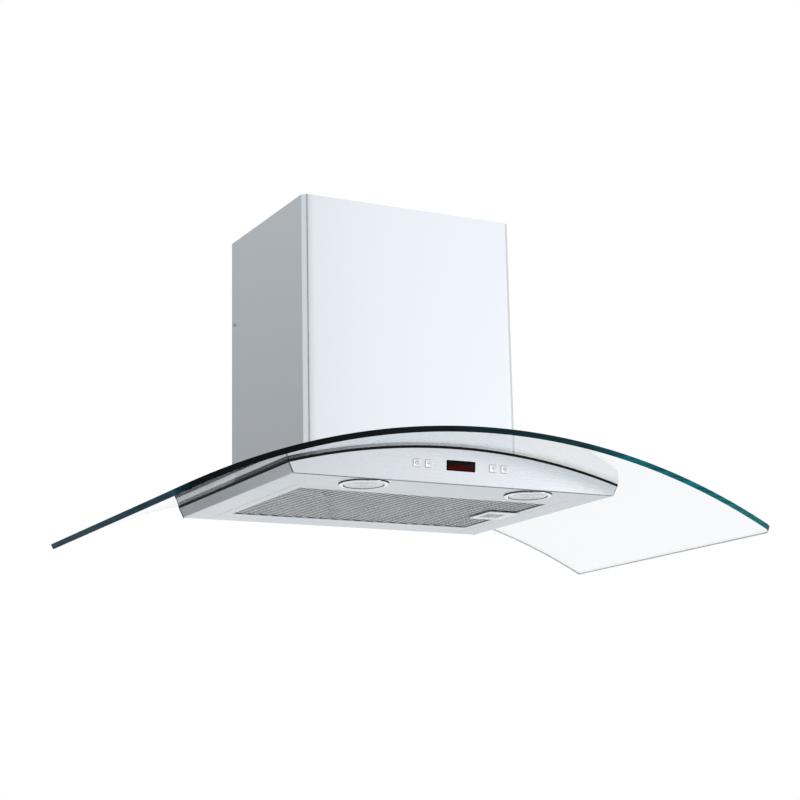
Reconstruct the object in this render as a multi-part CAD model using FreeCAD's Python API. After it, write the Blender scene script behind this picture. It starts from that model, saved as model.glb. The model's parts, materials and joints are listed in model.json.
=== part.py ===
import FreeCAD, Part
import math
import os

# A wall-hung range hood: a bent glass canopy on a slim steel body, with the fan in a steel box
# behind a rectangular chimney. Millimetres. X runs along the wall, -Y is the front, Z is up.
# The pieces are drawn with z = 0 at the body's underside, then moved so that the origin is
# midway between the two wall screws, on the wall.

Vector = FreeCAD.Vector

# Wall fixing
fixing_height = 290.0
fixing_spacing = 200.0
fixing_hole_radius = 4.0
rear_gap = 1.3

# Glass canopy, bent about an axis that runs from the wall to the front
glass_width = 902.0
glass_depth = 500.0
glass_thickness = 8.0
glass_radius = 981.0
glass_height = 52.3
glass_rear_gap = 0.5
glass_corner_radius = 12.0
glass_notch_radius = 15.0
glass_notch_gap = 5.0

# Steel body
body_width = 501.0
body_depth = 398.0
side_lean = 26.5
front_lean = 6.0
sheet = 1.0
fold_radius = 0.8
seam = 0.3
flange_width = 38.0
strip_corner = 42.0
drawn_height = 90.0
cut_over = 5.0

# Black rubber between the body and the glass, and on the rear ends of the sides
gasket_thickness = 2.5
gasket_width = 10.0
trim_width = 3.0

# Curved deck that carries the glass
deck_sheet = 1.2
deck_gap = 0.2

# Box that holds the fan
airbox_width = 290.0
airbox_depth = 226.0
airbox_top = 322.0
airbox_sheet = 1.2
airbox_corner = 3.0
airbox_flange = 8.0
airbox_lip = 12.0
airbox_lap_bottom = 18.0
airbox_lap_width = 280.0
airbox_gap = 1.5

# Glass bolts: place along the arc and along the depth
bolt_offset = 161.0
bolt_depth = 130.0
bolt_radius = 3.0
bolt_clearance = 0.3
bolt_head_radius = 5.5
bolt_head_height = 3.0
pad_size = 17.0
pad_thickness = 1.5
arc_seat = 0.05
nut_width = 10.0
nut_height = 5.0
bolt_end = 1.0

# Fan
fan_y = -98.0
fan_z = 168.0
scroll_width = 140.0
scroll_wall = 1.5
scroll_base_radius = 84.0
scroll_step = 8.0
scroll_inlet_radius = 62.0
scroll_turn = 15.0
outlet_depth = 91.0
outlet_top = 262.0
tongue_radius = 5.0
impeller_radius = 72.0
impeller_width = 124.0
impeller_ring_depth = 8.0
impeller_ring_width = 2.0
impeller_disc = 2.0
blade_count = 24
blade_depth = 11.0
blade_thickness = 0.9
blade_angle = 35.0
blade_bow = 1.8
blade_tip_gap = 0.3
hub_radius = 9.0
hub_length = 16.0
motor_radius = 40.0
motor_overhang = 2.0
motor_hub_gap = 9.0
motor_sides = 12
shaft_radius = 3.0
shaft_running = 0.05
shaft_fit = 0.02
shaft_overhang = 4.0
arm_thickness = 2.0
arm_width = 14.0
arm_ring_width = 5.0
arm_reach = 72.0
arm_count = 3
foot_size = 12.0
foot_height = 1.5

# Duct collar, its adapter and the two damper flaps
collar_y = -130.0
collar_radius = 75.0
collar_wall = 1.1
collar_height = 42.0
collar_flange = 11.0
collar_flange_thickness = 1.2
collar_stop = 4.0
collar_stop_height = 1.5
collar_stop_width = 12.0
adapter_wall = 1.5
adapter_folds = 6
adapter_gap = 0.1
pin_radius = 1.5
pin_offset = 4.0
pin_height = 15.8
pin_running = 0.05
pin_end_gap = 0.1
flap_thickness = 1.0
flap_gap = 0.7
flap_rest_gap = 0.3

# Electrical parts inside
capacitor_radius = 16.0
capacitor_height = 60.0
capacitor_y = -190.0
capacitor_z = 200.0
inner_gap = 0.3
terminal_size = (50.0, 60.0, 30.0)
terminal_x = 113.0
terminal_y = -186.0
gland_bore = 4.2
gland_relief = 5.0
gland_step = 1.0
gland_radius = 8.0
gland_nut = 12.0
gland_nut_height = 8.0
gland_height = 22.0
gland_clearance = 0.3
transformer_size = (60.0, 29.0, 25.0)
transformer_x = -100.0
transformer_rear = 4.0

# Chimney cover and the telescopic flue inside it
chimney_width = 346.0
chimney_depth = 267.0
chimney_top = 437.0
chimney_sheet = 1.0
chimney_corner = 8.0
chimney_return = 13.0
chimney_return_radius = 2.0
chimney_rear_gap = 1.0
chimney_seat = 0.4
flue_gap = 0.5
flue_length = 298.0
flue_rear = 25.0
flue_top_gap = 2.0
bracket_thickness = 1.5
bracket_height = 24.0
bracket_depth = 18.0
bracket_rear = 6.0
bracket_centre = 304.0
screw_y = -12.0
screw_radius = 1.9
screw_clearance = 0.2
screw_length = 5.0
screw_head_radius = 3.5
screw_head_height = 1.6

# Lamps
lamp_x = 130.0
lamp_inset = 36.0
lamp_ring_radius = 34.5
lamp_lens_radius = 27.5
lamp_drop = 3.0
lamp_hole_radius = 30.6
lamp_edge = 1.4
lamp_shoulder = 0.7
lamp_lip = 1.2
lens_overlap = 1.4
lens_thickness = 1.6
lens_gap = 0.1
cup_radius = 30.2
cup_height = 21.0
cup_wall = 1.0
cup_taper = 8.0
led_board_radius = 16.0
led_board_thickness = 1.6
led_chip = 8.0
led_chip_height = 0.8

# Controls on the front
control_height = 26.0
display_width = 45.0
display_height = 14.0
display_corner = 1.2
display_depth = 2.2
display_proud = 0.2
window_rim = 1.6
button_size = 11.0
button_corner = 1.5
button_inner_x = 50.5
button_outer_x = 69.0
button_gap = 0.3
button_proud = 0.8
button_depth = 2.3
button_flange = 1.3
button_flange_height = 0.9
stem_width = 2.6
stem_tip = 6.3
switch_size = 6.4
switch_front = 5.8
switch_bore = 3.4
switch_bore_depth = 2.6
board_front = 9.3
board_width = 156.0
board_height = 26.0
board_thickness = 1.6
module_width = 40.0
module_height = 11.0
box_width = 164.0
box_height = 31.0
box_depth = 15.0
box_wall = 1.5

# Grease filter
lamp_strip_depth = 81.0
filter_rear = 38.0
frame_height = 10.0
frame_side = 14.6
frame_front_rail = 14.6
frame_rear_rail = 25.0
frame_corner = 1.0
frame_skin = 1.2
mesh_thickness = 0.8
mesh_gap = 0.1
mesh_lap = 9.0
core_thickness = 0.5
core_wave = 30.0
core_crest = 7.0
gap_length = 29.0
gap_width = 32.0
gap_columns = 10
gap_rows = 5
gap_margin = 5.0
tongue_width = 30.0
tongue_reach = 10.0
tongue_thickness = 1.0
tongue_inset = 52.0
latch_y = -186.0
latch_span = 45.3
latch_lap = 9.0
latch_length = 64.0
latch_sheet = 1.0
latch_corner = 4.0
pocket_width = 30.0
pocket_inset = 7.3
pocket_length = 34.0
pocket_top = 7.5
slide_width = 12.0
slide_thickness = 1.9
slide_reach = 5.6
slide_gap = 0.3
lug_inset = 14.0
lug_thickness = 3.0
lug_width = 16.0
lug_drop = 3.0
lug_top = 6.0

# Sizes that follow
arc_centre = glass_height - glass_radius
glass_top_radius = glass_radius + glass_thickness
deck_radius = glass_radius - gasket_thickness
deck_under = deck_radius - deck_sheet
flange_under = deck_under - airbox_sheet
lid_top = airbox_top + airbox_sheet
body_half = body_width / 2
flange_inner = body_half - flange_width
frame_half = flange_inner - seam - slide_gap
opening_half = frame_half - frame_side
latch_left = opening_half - latch_span
pocket_right = opening_half - pocket_inset
pocket_left = pocket_right - pocket_width
lug_left = pocket_left + lug_inset
filter_front = body_depth - lamp_strip_depth
tongue_places = (filter_rear + tongue_inset, filter_front - tongue_inset)
lamp_y = -body_depth + lamp_inset
inner_rear = rear_gap + sheet + deck_gap
corner_inset = sheet + fold_radius + seam
barrel_length = 3 * glass_depth

# Flats on round pieces where a true circle isn't needed
small_flats = 8
hex_sides = 6
lamp_flats = 36
cup_flats = 16
wheel_flats = 24
duct_flats = 36


# Drawing helpers

def in_plan(z):
    return lambda a, b: Vector(a, b, z)


def in_front(y):
    return lambda a, b: Vector(a, y, b)


def in_side(x):
    return lambda a, b: Vector(x, a, b)


def unit(a, b):
    length = math.hypot(b[0] - a[0], b[1] - a[1])
    return (b[0] - a[0]) / length, (b[1] - a[1]) / length


def corner_arc(before, corner, after, radius):
    """Start, middle and end of the arc that rounds one corner."""
    ax, ay = unit(corner, before)
    bx, by = unit(corner, after)
    half = math.acos(max(-1.0, min(1.0, ax * bx + ay * by))) / 2
    reach = radius / math.tan(half)
    mx, my = ax + bx, ay + by
    size = math.hypot(mx, my)
    depth = radius / math.sin(half) - radius
    start = (corner[0] + ax * reach, corner[1] + ay * reach)
    middle = (corner[0] + mx / size * depth, corner[1] + my / size * depth)
    end = (corner[0] + bx * reach, corner[1] + by * reach)
    return start, middle, end


def outline(points, radii, place):
    """Closed wire through the points, each corner rounded by its own radius."""
    count = len(points)
    edges = []
    ends = []
    for i, point in enumerate(points):
        if radii[i] > 0:
            ends.append(corner_arc(points[i - 1], point, points[(i + 1) % count], radii[i]))
        else:
            ends.append((point, None, point))
    for i, (start, middle, end) in enumerate(ends):
        if middle:
            edges.append(Part.Arc(place(*start), place(*middle), place(*end)).toShape())
        following = ends[(i + 1) % count][0]
        if math.dist(end, following) > 1e-6:
            edges.append(Part.LineSegment(place(*end), place(*following)).toShape())
    return Part.Wire(edges)


def prism(points, radii, place, along):
    return Part.Face(outline(points, radii, place)).extrude(along)


def rectangle(x0, x1, y0, y1):
    return [(x0, y0), (x1, y0), (x1, y1), (x0, y1)]


def block(x0, x1, y0, y1, z0, z1, corner=0.0):
    points = rectangle(x0, x1, y0, y1)
    return prism(points, [corner] * 4, in_plan(z0), Vector(0, 0, z1 - z0))


def bent_section(path, thickness, radii):
    """Outline of a folded sheet. The path is one face; a positive thickness lies to its left."""
    sides = []
    for a, b in zip(path, path[1:]):
        dx, dy = unit(a, b)
        sides.append((-dy, dx))
    other = [(path[0][0] + sides[0][0] * thickness, path[0][1] + sides[0][1] * thickness)]
    path_radii = [0.0]
    other_radii = [0.0]
    for i in range(1, len(path) - 1):
        (ax, ay), (bx, by) = sides[i - 1], sides[i]
        scale = thickness / (1 + ax * bx + ay * by)
        other.append((path[i][0] + (ax + bx) * scale, path[i][1] + (ay + by) * scale))
        turn = ax * by - ay * bx
        inside_is_other = turn * thickness > 0
        outer = radii[i - 1] + abs(thickness)
        path_radii.append(outer if inside_is_other else radii[i - 1])
        other_radii.append(radii[i - 1] if inside_is_other else outer)
    last = sides[-1]
    other.append((path[-1][0] + last[0] * thickness, path[-1][1] + last[1] * thickness))
    path_radii.append(0.0)
    other_radii.append(0.0)
    return list(path) + other[::-1], path_radii + other_radii[::-1]


def folded(path, thickness, radii, place, along):
    points, corner_radii = bent_section(path, thickness, radii)
    return prism(points, corner_radii, place, along)


def rod(radius, length, base, direction):
    return Part.makeCylinder(radius, length, base, direction)


def flat_face(corners):
    return Part.Face(Part.makePolygon(corners + corners[:1]))


def flat_rod(radius, length, base, direction, sides):
    """Rod with flat sides, its corners on the circle."""
    across = Vector(1, 0, 0) if abs(direction.x) < 0.5 else Vector(0, 1, 0)
    beside = direction.cross(across)
    corners = []
    for i in range(sides):
        turn = 2 * math.pi * i / sides
        corners.append(base + across * (radius * math.cos(turn))
                       + beside * (radius * math.sin(turn)))
    return flat_face(corners).extrude(direction * length)


def faceted(polygons):
    """Solid bounded by flat polygons."""
    solid = Part.Solid(Part.Shell([flat_face(corners) for corners in polygons]))
    if solid.Volume < 0:
        solid.reverse()
    return solid.removeSplitter()


def turned_flats(points, sides, x, y):
    """Ring or cup with flat sides about a vertical axis, from (radius, z) points."""
    def corner(point, i):
        turn = 2 * math.pi * i / sides
        return Vector(x + point[0] * math.cos(turn), y + point[0] * math.sin(turn), point[1])

    polygons = []
    for low, high in zip(points, points[1:] + points[:1]):
        for i in range(sides):
            ring = []
            if low[0] > 0:
                ring += [corner(low, i), corner(low, i + 1)]
            else:
                ring.append(corner(low, i))
            if high[0] > 0:
                ring += [corner(high, i + 1), corner(high, i)]
            else:
                ring.append(corner(high, i))
            if len(ring) > 2:
                polygons.append(ring)
    return faceted(polygons)


def mirrored(shape):
    return shape.mirror(Vector(0, 0, 0), Vector(1, 0, 0))


# The glass's arc: everything between body and glass is concentric with it

def barrel(radius):
    return rod(radius, barrel_length, Vector(0, -barrel_length / 2, arc_centre), Vector(0, 1, 0))


def arc_plate(plan, inner_radius, outer_radius):
    return plan.common(barrel(outer_radius)).cut(barrel(inner_radius))


def on_arc(shape, offset):
    """Swings a shape drawn over the arc's top sideways until it stands at x = offset."""
    turned = shape.copy()
    angle = math.degrees(math.asin(offset / glass_radius))
    turned.rotate(Vector(0, 0, arc_centre), Vector(0, 1, 0), angle)
    return turned


def with_bolt_holes(shape):
    base = Vector(0, -bolt_depth, arc_centre + flange_under - cut_over)
    hole = rod(bolt_radius + bolt_clearance, glass_top_radius - flange_under + 2 * cut_over, base,
               Vector(0, 0, 1))
    for side in (-1, 1):
        shape = shape.cut(on_arc(hole, side * bolt_offset))
    return shape


# The body's leaning faces

def front_y(z):
    return -body_depth - z * math.tan(math.radians(front_lean))


def side_x(z):
    return body_half + z * math.tan(math.radians(side_lean))


def envelope(front_inset, side_inset, rear_y):
    """Everything inside the body's leaning front and sides."""
    ring = []
    for z in (-cut_over, drawn_height):
        x = side_x(z) - side_inset
        corners = rectangle(-x, x, front_y(z) + front_inset, rear_y)
        ring.append(outline(corners, [0.0] * 4, in_plan(z)))
    return Part.makeLoft(ring, True, True)


def on_front(shape, x):
    """Moves a shape drawn at the origin onto the leaning front, its y pointing inwards."""
    moved = shape.copy()
    moved.rotate(Vector(0, 0, 0), Vector(1, 0, 0), front_lean)
    moved.translate(Vector(x, front_y(control_height), control_height))
    return moved


def front_block(width, height, near, far, cut=0.0):
    """Upright block in the front's own frame, from near to far behind its face."""
    x, z = width / 2, height / 2
    points = rectangle(-x, x, -z, z)
    if cut > 0:
        points = [(-x + cut, -z), (x - cut, -z), (x, -z + cut), (x, z - cut),
                  (x - cut, z), (-x + cut, z), (-x, z - cut), (-x, -z + cut)]
    return prism(points, [0.0] * len(points), in_front(near), Vector(0, far - near, 0))


def button_places():
    return {"power": -button_outer_x, "minus": -button_inner_x,
            "plus": button_inner_x, "light": button_outer_x}


# Glass and rubber

def glass_canopy():
    angle = math.asin(glass_width / 2 / (glass_radius + glass_thickness / 2))
    centre = (0.0, arc_centre)

    def point(radius, turn):
        return in_front(0)(centre[0] + radius * math.sin(turn), centre[1] + radius * math.cos(turn))

    edges = [
        Part.Arc(point(glass_top_radius, -angle), point(glass_top_radius, 0),
                 point(glass_top_radius, angle)).toShape(),
        Part.LineSegment(point(glass_top_radius, angle), point(glass_radius, angle)).toShape(),
        Part.Arc(point(glass_radius, angle), point(glass_radius, 0),
                 point(glass_radius, -angle)).toShape(),
        Part.LineSegment(point(glass_radius, -angle), point(glass_top_radius, -angle)).toShape(),
    ]
    sheet_of_glass = Part.Face(Part.Wire(edges)).extrude(Vector(0, -glass_depth, 0))
    sheet_of_glass.translate(Vector(0, -glass_rear_gap, 0))
    front = -glass_depth - glass_rear_gap
    corners = [e for e in sheet_of_glass.Edges
               if e.Length < 2 * glass_thickness and abs(e.CenterOfMass.y - front) < 0.01]
    sheet_of_glass = sheet_of_glass.makeFillet(glass_corner_radius, corners)
    return with_bolt_holes(sheet_of_glass.cut(glass_notch()))


def glass_notch():
    half = airbox_width / 2 + glass_notch_gap
    points = rectangle(-half, half, -airbox_depth - glass_notch_gap, glass_notch_gap)
    radii = [glass_notch_radius, glass_notch_radius, 0.0, 0.0]
    return prism(points, radii, in_plan(-drawn_height), Vector(0, 0, 3 * drawn_height))


def glass_gasket():
    outer = envelope(0.0, 0.0, -rear_gap)
    inner = envelope(gasket_width, gasket_width, -rear_gap - gasket_width)
    ring = arc_plate(outer.cut(inner), deck_radius, glass_radius)
    return ring.cut(glass_notch())


def rear_edge_trim():
    top = barrel(deck_radius)
    outer = envelope(0.0, 0.0, -seam)
    inner = envelope(0.0, sheet + deck_gap, 0.0)
    width = block(-glass_width, glass_width, -trim_width - seam, 0.0, 0.0, drawn_height)
    return outer.cut(inner).common(width).common(top)


# Steel body

def front_panel():
    path = [(-filter_front, 0.0), (-body_depth, 0.0), (front_y(drawn_height), drawn_height)]
    span = Vector(2 * side_x(drawn_height), 0, 0)
    panel = folded(path, -sheet, [fold_radius], in_side(-side_x(drawn_height)), span)
    panel = panel.common(envelope(-sheet, 0.0, 0.0)).common(barrel(deck_radius))
    for cutter in strip_corners():
        panel = panel.cut(cutter)
    for side in (-1, 1):
        base = Vector(side * lamp_x, lamp_y, -sheet)
        panel = panel.cut(rod(lamp_hole_radius, 3 * sheet, base, Vector(0, 0, 1)))
    opening = button_size + 2 * button_gap
    for x in button_places().values():
        hole = front_block(opening, opening, -cut_over, cut_over, button_corner)
        panel = panel.cut(on_front(hole, x))
    display = front_block(display_width + 2 * seam, display_height + 2 * seam, -cut_over, cut_over,
                          display_corner)
    return panel.cut(on_front(display, 0.0))


def strip_corners():
    """What the lamp strip leaves free for the sides' flanges, and for their folds."""
    rear = -filter_front + sheet
    corner_y = -body_depth + strip_corner
    fold_y = -body_depth + corner_inset - seam
    fold_x = body_half - 2 * sheet - fold_radius
    cutters = []
    for side in (-1, 1):
        inner = sorted((side * (flange_inner - seam), side * 2 * body_half))
        outer = sorted((side * fold_x, side * 2 * body_half))
        cutters.append(block(inner[0], inner[1], corner_y - seam, rear, -sheet, 2 * sheet))
        cutters.append(block(outer[0], outer[1], fold_y, rear, -sheet, 2 * sheet))
    return cutters


def side_panel():
    path = [(flange_inner, 0.0), (body_half, 0.0), (side_x(drawn_height), drawn_height)]
    run = Vector(0, body_depth * 2, 0)
    panel = folded(path, sheet, [fold_radius], in_front(-body_depth * 2), run)
    rear = -seam - trim_width - deck_gap
    panel = panel.common(envelope(corner_inset, -sheet, rear)).common(barrel(deck_radius))
    flange_end = block(flange_inner - sheet, body_half - 2 * sheet - fold_radius + seam,
                       -body_depth - sheet, -body_depth + strip_corner, -sheet, 2 * sheet)
    return panel.cut(flange_end)


def rear_panel():
    path = [(-filter_rear + seam, 0.0), (-rear_gap, 0.0), (-rear_gap, drawn_height)]
    span = Vector(2 * side_x(drawn_height), 0, 0)
    panel = folded(path, sheet, [fold_radius], in_side(-side_x(drawn_height)), span)
    panel = panel.common(envelope(0.0, sheet + seam, 0.0)).common(barrel(deck_radius))
    for side in (-1, 1):
        ends = sorted((side * (flange_inner - seam), side * 2 * body_half))
        panel = panel.cut(block(ends[0], ends[1], -filter_rear, -inner_rear, -sheet, 2 * sheet))
    half = airbox_width / 2 + airbox_gap
    return panel.cut(block(-half, half, -inner_rear - sheet, 0.0, rear_notch_z(), drawn_height))


def rear_notch_z():
    """Lowest point of the airbox's flange, less a gap."""
    return arc_centre + math.sqrt(flange_under ** 2 - (airbox_width / 2) ** 2) - airbox_gap


def top_deck():
    inset = sheet + deck_gap
    plate = arc_plate(envelope(inset, inset, -inner_rear), deck_under, deck_radius)
    half = airbox_width / 2 + airbox_gap
    notch = block(-half, half, -airbox_depth - airbox_gap, 0.0, -drawn_height, drawn_height)
    return with_bolt_holes(plate.cut(notch))


# Box for the fan

def airbox():
    half = airbox_width / 2
    height = Vector(0, 0, airbox_top)
    radii = [airbox_corner, airbox_corner, 0.0, 0.0]
    walls = prism(rectangle(-half, half, -airbox_depth, 0.0), radii, in_plan(0), height)
    walls = walls.cut(airbox_inside(0.0, airbox_top + 1))
    walls = walls.cut(barrel(flange_under))
    flange = block(-half - airbox_flange, half + airbox_flange,
                   -airbox_depth - airbox_flange, -inner_rear, 0.0, drawn_height)
    flange = arc_plate(flange, flange_under, deck_under).cut(airbox_inside(0.0, drawn_height))
    lap_half = airbox_lap_width / 2
    lap = block(-lap_half, lap_half, -airbox_sheet, 0.0, airbox_lap_bottom, drawn_height)
    lip = airbox_inside(airbox_top - airbox_sheet, airbox_top)
    lip = lip.cut(block(-half + airbox_lip, half - airbox_lip, -airbox_depth + airbox_lip,
                        -airbox_lip, 0.0, airbox_top + 1))
    shell = walls.fuse([flange, lap, lip]).removeSplitter()
    for side in (-1, 1):
        base = Vector(side * fixing_spacing / 2, -cut_over, fixing_height)
        shell = shell.cut(rod(fixing_hole_radius, 2 * cut_over, base, Vector(0, 1, 0)))
    return shell


def airbox_inside(z0, z1):
    half = airbox_width / 2 - airbox_sheet
    points = rectangle(-half, half, -airbox_depth + airbox_sheet, -airbox_sheet)
    inner_corner = airbox_corner - airbox_sheet
    return prism(points, [inner_corner, inner_corner, 0.0, 0.0], in_plan(z0), Vector(0, 0, z1 - z0))


def airbox_lid():
    half = airbox_width / 2
    radii = [airbox_corner, airbox_corner, 0.0, 0.0]
    points = rectangle(-half, half, -airbox_depth, 0.0)
    lid = prism(points, radii, in_plan(airbox_top), Vector(0, 0, airbox_sheet))
    up = Vector(0, 0, 1)
    bore = collar_radius - collar_wall
    lid = lid.cut(rod(bore, 2 * cut_over, Vector(0, collar_y, airbox_top - cut_over), up))
    gland = Vector(terminal_x, terminal_y, airbox_top - cut_over)
    return lid.cut(flat_rod(gland_radius + gland_clearance, 2 * cut_over, gland, up, small_flats))


def glass_bolts():
    up = Vector(0, 0, 1)
    length = glass_top_radius + pad_thickness + nut_height + bolt_end - deck_under + arc_seat
    seat = Vector(0, -bolt_depth, arc_centre + deck_under - arc_seat)
    shank = flat_rod(bolt_radius, length, seat, up, small_flats)
    height = bolt_head_height - arc_seat
    bolt = shank.fuse(flat_rod(bolt_head_radius, height, seat - up * height, up, hex_sides))
    bolt = bolt.removeSplitter()
    return Part.makeCompound([on_arc(bolt, side * bolt_offset) for side in (-1, 1)])


def glass_pads():
    """Square rubber pads round the bolts, below and above the glass."""
    pads = []
    half = pad_size / 2
    for low, high in ((deck_radius, glass_radius),
                      (glass_top_radius, glass_top_radius + pad_thickness)):
        pad = block(-half, half, -bolt_depth - half, -bolt_depth + half,
                    arc_centre + low + arc_seat, arc_centre + high - arc_seat)
        hole = Vector(0, -bolt_depth, arc_centre + low - 1)
        reach = 2 * (bolt_radius + bolt_clearance)
        pad = pad.cut(flat_rod(reach, high - low + 2, hole, Vector(0, 0, 1), small_flats))
        pads += [on_arc(pad, side * bolt_offset) for side in (-1, 1)]
    return Part.makeCompound(pads)


def glass_nuts():
    up = Vector(0, 0, 1)
    base = Vector(0, -bolt_depth, arc_centre + glass_top_radius + pad_thickness)
    reach = nut_width / 2 / math.cos(math.pi / hex_sides)
    nut = flat_rod(reach, nut_height, base, up, hex_sides)
    nut = nut.cut(flat_rod(bolt_radius + shaft_fit, 3 * nut_height, base - up * nut_height, up,
                           small_flats))
    return Part.makeCompound([on_arc(nut, side * bolt_offset) for side in (-1, 1)])


# Fan

def scroll_outline(inset, top):
    """Three quarter turns of growing radius in flats, then a straight outlet up along the front."""
    half = scroll_step / 2
    centres = [(half, -half), (-half, -half), (-half, half)]
    steps = round(90.0 / scroll_turn)
    path = []
    for quarter, centre in enumerate(centres):
        radius = scroll_base_radius + scroll_step * quarter - inset
        for i in range(1 if quarter else 0, steps + 1):
            angle = math.radians(90.0 * (1 - quarter) - scroll_turn * i)
            path.append((fan_y + centre[0] + radius * math.cos(angle),
                         fan_z + centre[1] + radius * math.sin(angle)))
    tongue_y = outlet_front() + outlet_depth - inset
    roof = path[0][1]
    path += [(outlet_front() + inset, top), (tongue_y, top), (tongue_y, roof + tongue_radius),
             (tongue_y + tongue_radius, roof)]
    return flat_face([in_side(0)(*point) for point in path])


def outlet_front():
    return fan_y - scroll_step / 2 - (scroll_base_radius + 2 * scroll_step)


def blower_scroll():
    outer = scroll_outline(0.0, outlet_top).extrude(Vector(scroll_width, 0, 0))
    outer.translate(Vector(-scroll_width / 2, 0, 0))
    inner_width = scroll_width - 2 * scroll_wall
    inner = scroll_outline(scroll_wall, outlet_top + cut_over).extrude(Vector(inner_width, 0, 0))
    inner.translate(Vector(-inner_width / 2, 0, 0))
    inlet = flat_rod(scroll_inlet_radius, 2 * scroll_width,
                     Vector(-scroll_width, fan_y, fan_z), Vector(1, 0, 0), wheel_flats)
    return outer.cut(inner).cut(inlet)


def blade():
    """One forward-curved blade in two flats, drawn in the y, z plane."""
    inner = impeller_radius - blade_depth
    outer = impeller_radius * math.cos(math.pi / wheel_flats) - blade_tip_gap
    lean = math.radians(blade_angle)
    tip_angle = math.asin(blade_depth * math.tan(lean) / impeller_radius / 2)
    root = (inner, 0.0)
    tip = (outer * math.cos(tip_angle), outer * math.sin(tip_angle))
    dx, dy = unit(root, tip)
    middle = ((root[0] + tip[0]) / 2 + dy * blade_bow, (root[1] + tip[1]) / 2 - dx * blade_bow)
    near = [root, middle, tip]
    far = [(y - dy * blade_thickness, z + dx * blade_thickness) for y, z in reversed(near)]
    section = [in_side(-impeller_width / 2)(*point) for point in near + far]
    return flat_face(section).extrude(Vector(impeller_width, 0, 0))


def impeller():
    """Double-inlet wheel: a hub disc between two rows of forward-curved blades, with end rings."""
    along = Vector(1, 0, 0)
    start = Vector(-impeller_disc / 2, 0, 0)
    pieces = [flat_rod(impeller_radius, impeller_disc, start, along, wheel_flats),
              flat_rod(hub_radius, hub_length, start, along, small_flats)]
    for x in (-impeller_width / 2, impeller_width / 2 - impeller_ring_width):
        base = Vector(x, 0, 0)
        ring = flat_rod(impeller_radius, impeller_ring_width, base, along, wheel_flats)
        pieces.append(ring.cut(flat_rod(impeller_radius - impeller_ring_depth,
                                        impeller_ring_width, base, along, wheel_flats)))
    single = blade()
    for i in range(blade_count):
        turned = single.copy()
        turned.rotate(Vector(0, 0, 0), along, 360.0 / blade_count * i)
        pieces.append(turned)
    wheel = pieces[0].fuse(pieces[1:]).removeSplitter()
    bore = rod(shaft_radius + shaft_fit, 2 * scroll_width, Vector(-scroll_width, 0, 0), along)
    wheel = wheel.cut(bore)
    wheel.translate(Vector(0, fan_y, fan_z))
    return wheel


def motor_start():
    return arm_plane() - motor_overhang


def motor():
    along = Vector(1, 0, 0)
    length = -motor_hub_gap - motor_start()
    can = flat_rod(motor_radius, length, Vector(motor_start(), fan_y, fan_z), along, motor_sides)
    bore = rod(shaft_radius + shaft_running, 2 * scroll_width, Vector(-scroll_width, fan_y, fan_z),
               along)
    return can.cut(bore)


def motor_shaft():
    start = motor_start() - shaft_overhang
    length = hub_length - impeller_disc / 2 - start
    return rod(shaft_radius, length, Vector(start, fan_y, fan_z), Vector(1, 0, 0))


def arm_plane():
    """Inner face of the motor's arms, outside the scroll's wall."""
    return -scroll_width / 2 - foot_height - arm_thickness


def arm_places():
    return [90.0 + 360.0 / arm_count * i for i in range(arm_count)]


def motor_bracket():
    along = Vector(1, 0, 0)
    hub = flat_rod(motor_radius + arm_ring_width, arm_thickness, Vector(arm_plane(), 0, 0), along,
                   motor_sides)
    arms = []
    for angle in arm_places():
        arm = Part.makeBox(arm_thickness, arm_reach, arm_width)
        arm.translate(Vector(arm_plane(), 0, -arm_width / 2))
        arm.rotate(Vector(0, 0, 0), along, angle)
        arms.append(arm)
    bracket = hub.fuse(arms).removeSplitter()
    seat = flat_rod(motor_radius + shaft_running, 4 * arm_thickness,
                    Vector(arm_plane() - arm_thickness, 0, 0), along, motor_sides)
    bracket = bracket.cut(seat)
    bracket.translate(Vector(0, fan_y, fan_z))
    return bracket


def motor_feet():
    """Rubber blocks between the motor's arms and the scroll."""
    feet = []
    for angle in arm_places():
        foot = Part.makeBox(foot_height, foot_size, foot_size)
        foot.translate(Vector(-scroll_width / 2 - foot_height, arm_reach - foot_size,
                              -foot_size / 2))
        foot.rotate(Vector(0, 0, 0), Vector(1, 0, 0), angle)
        foot.translate(Vector(0, fan_y, fan_z))
        feet.append(foot)
    return Part.makeCompound(feet)


# Duct outlet

def square_to_round(inset):
    """Folded transition: a triangle on each side and a fan of triangles at each corner."""
    radius = collar_radius - collar_wall - inset
    half = scroll_width / 2 - inset
    corners = [Vector(x, y, outlet_top) for x, y in
               rectangle(-half, half, outlet_front() + inset,
                         outlet_front() + outlet_depth - inset)]
    count = 4 * adapter_folds
    ring = []
    for i in range(count):
        turn = math.radians(360.0 / count * i - 180.0)
        ring.append(Vector(radius * math.cos(turn), collar_y + radius * math.sin(turn),
                           airbox_top - adapter_gap))
    polygons = [corners[::-1], ring]
    for i, corner in enumerate(corners):
        for k in range(adapter_folds * i, adapter_folds * (i + 1)):
            polygons.append([corner, ring[(k + 1) % count], ring[k]])
        following = ring[adapter_folds * (i + 1) % count]
        polygons.append([corner, corners[(i + 1) % 4], following])
    return faceted(polygons)


def outlet_adapter():
    return square_to_round(0.0).cut(square_to_round(adapter_wall))


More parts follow.
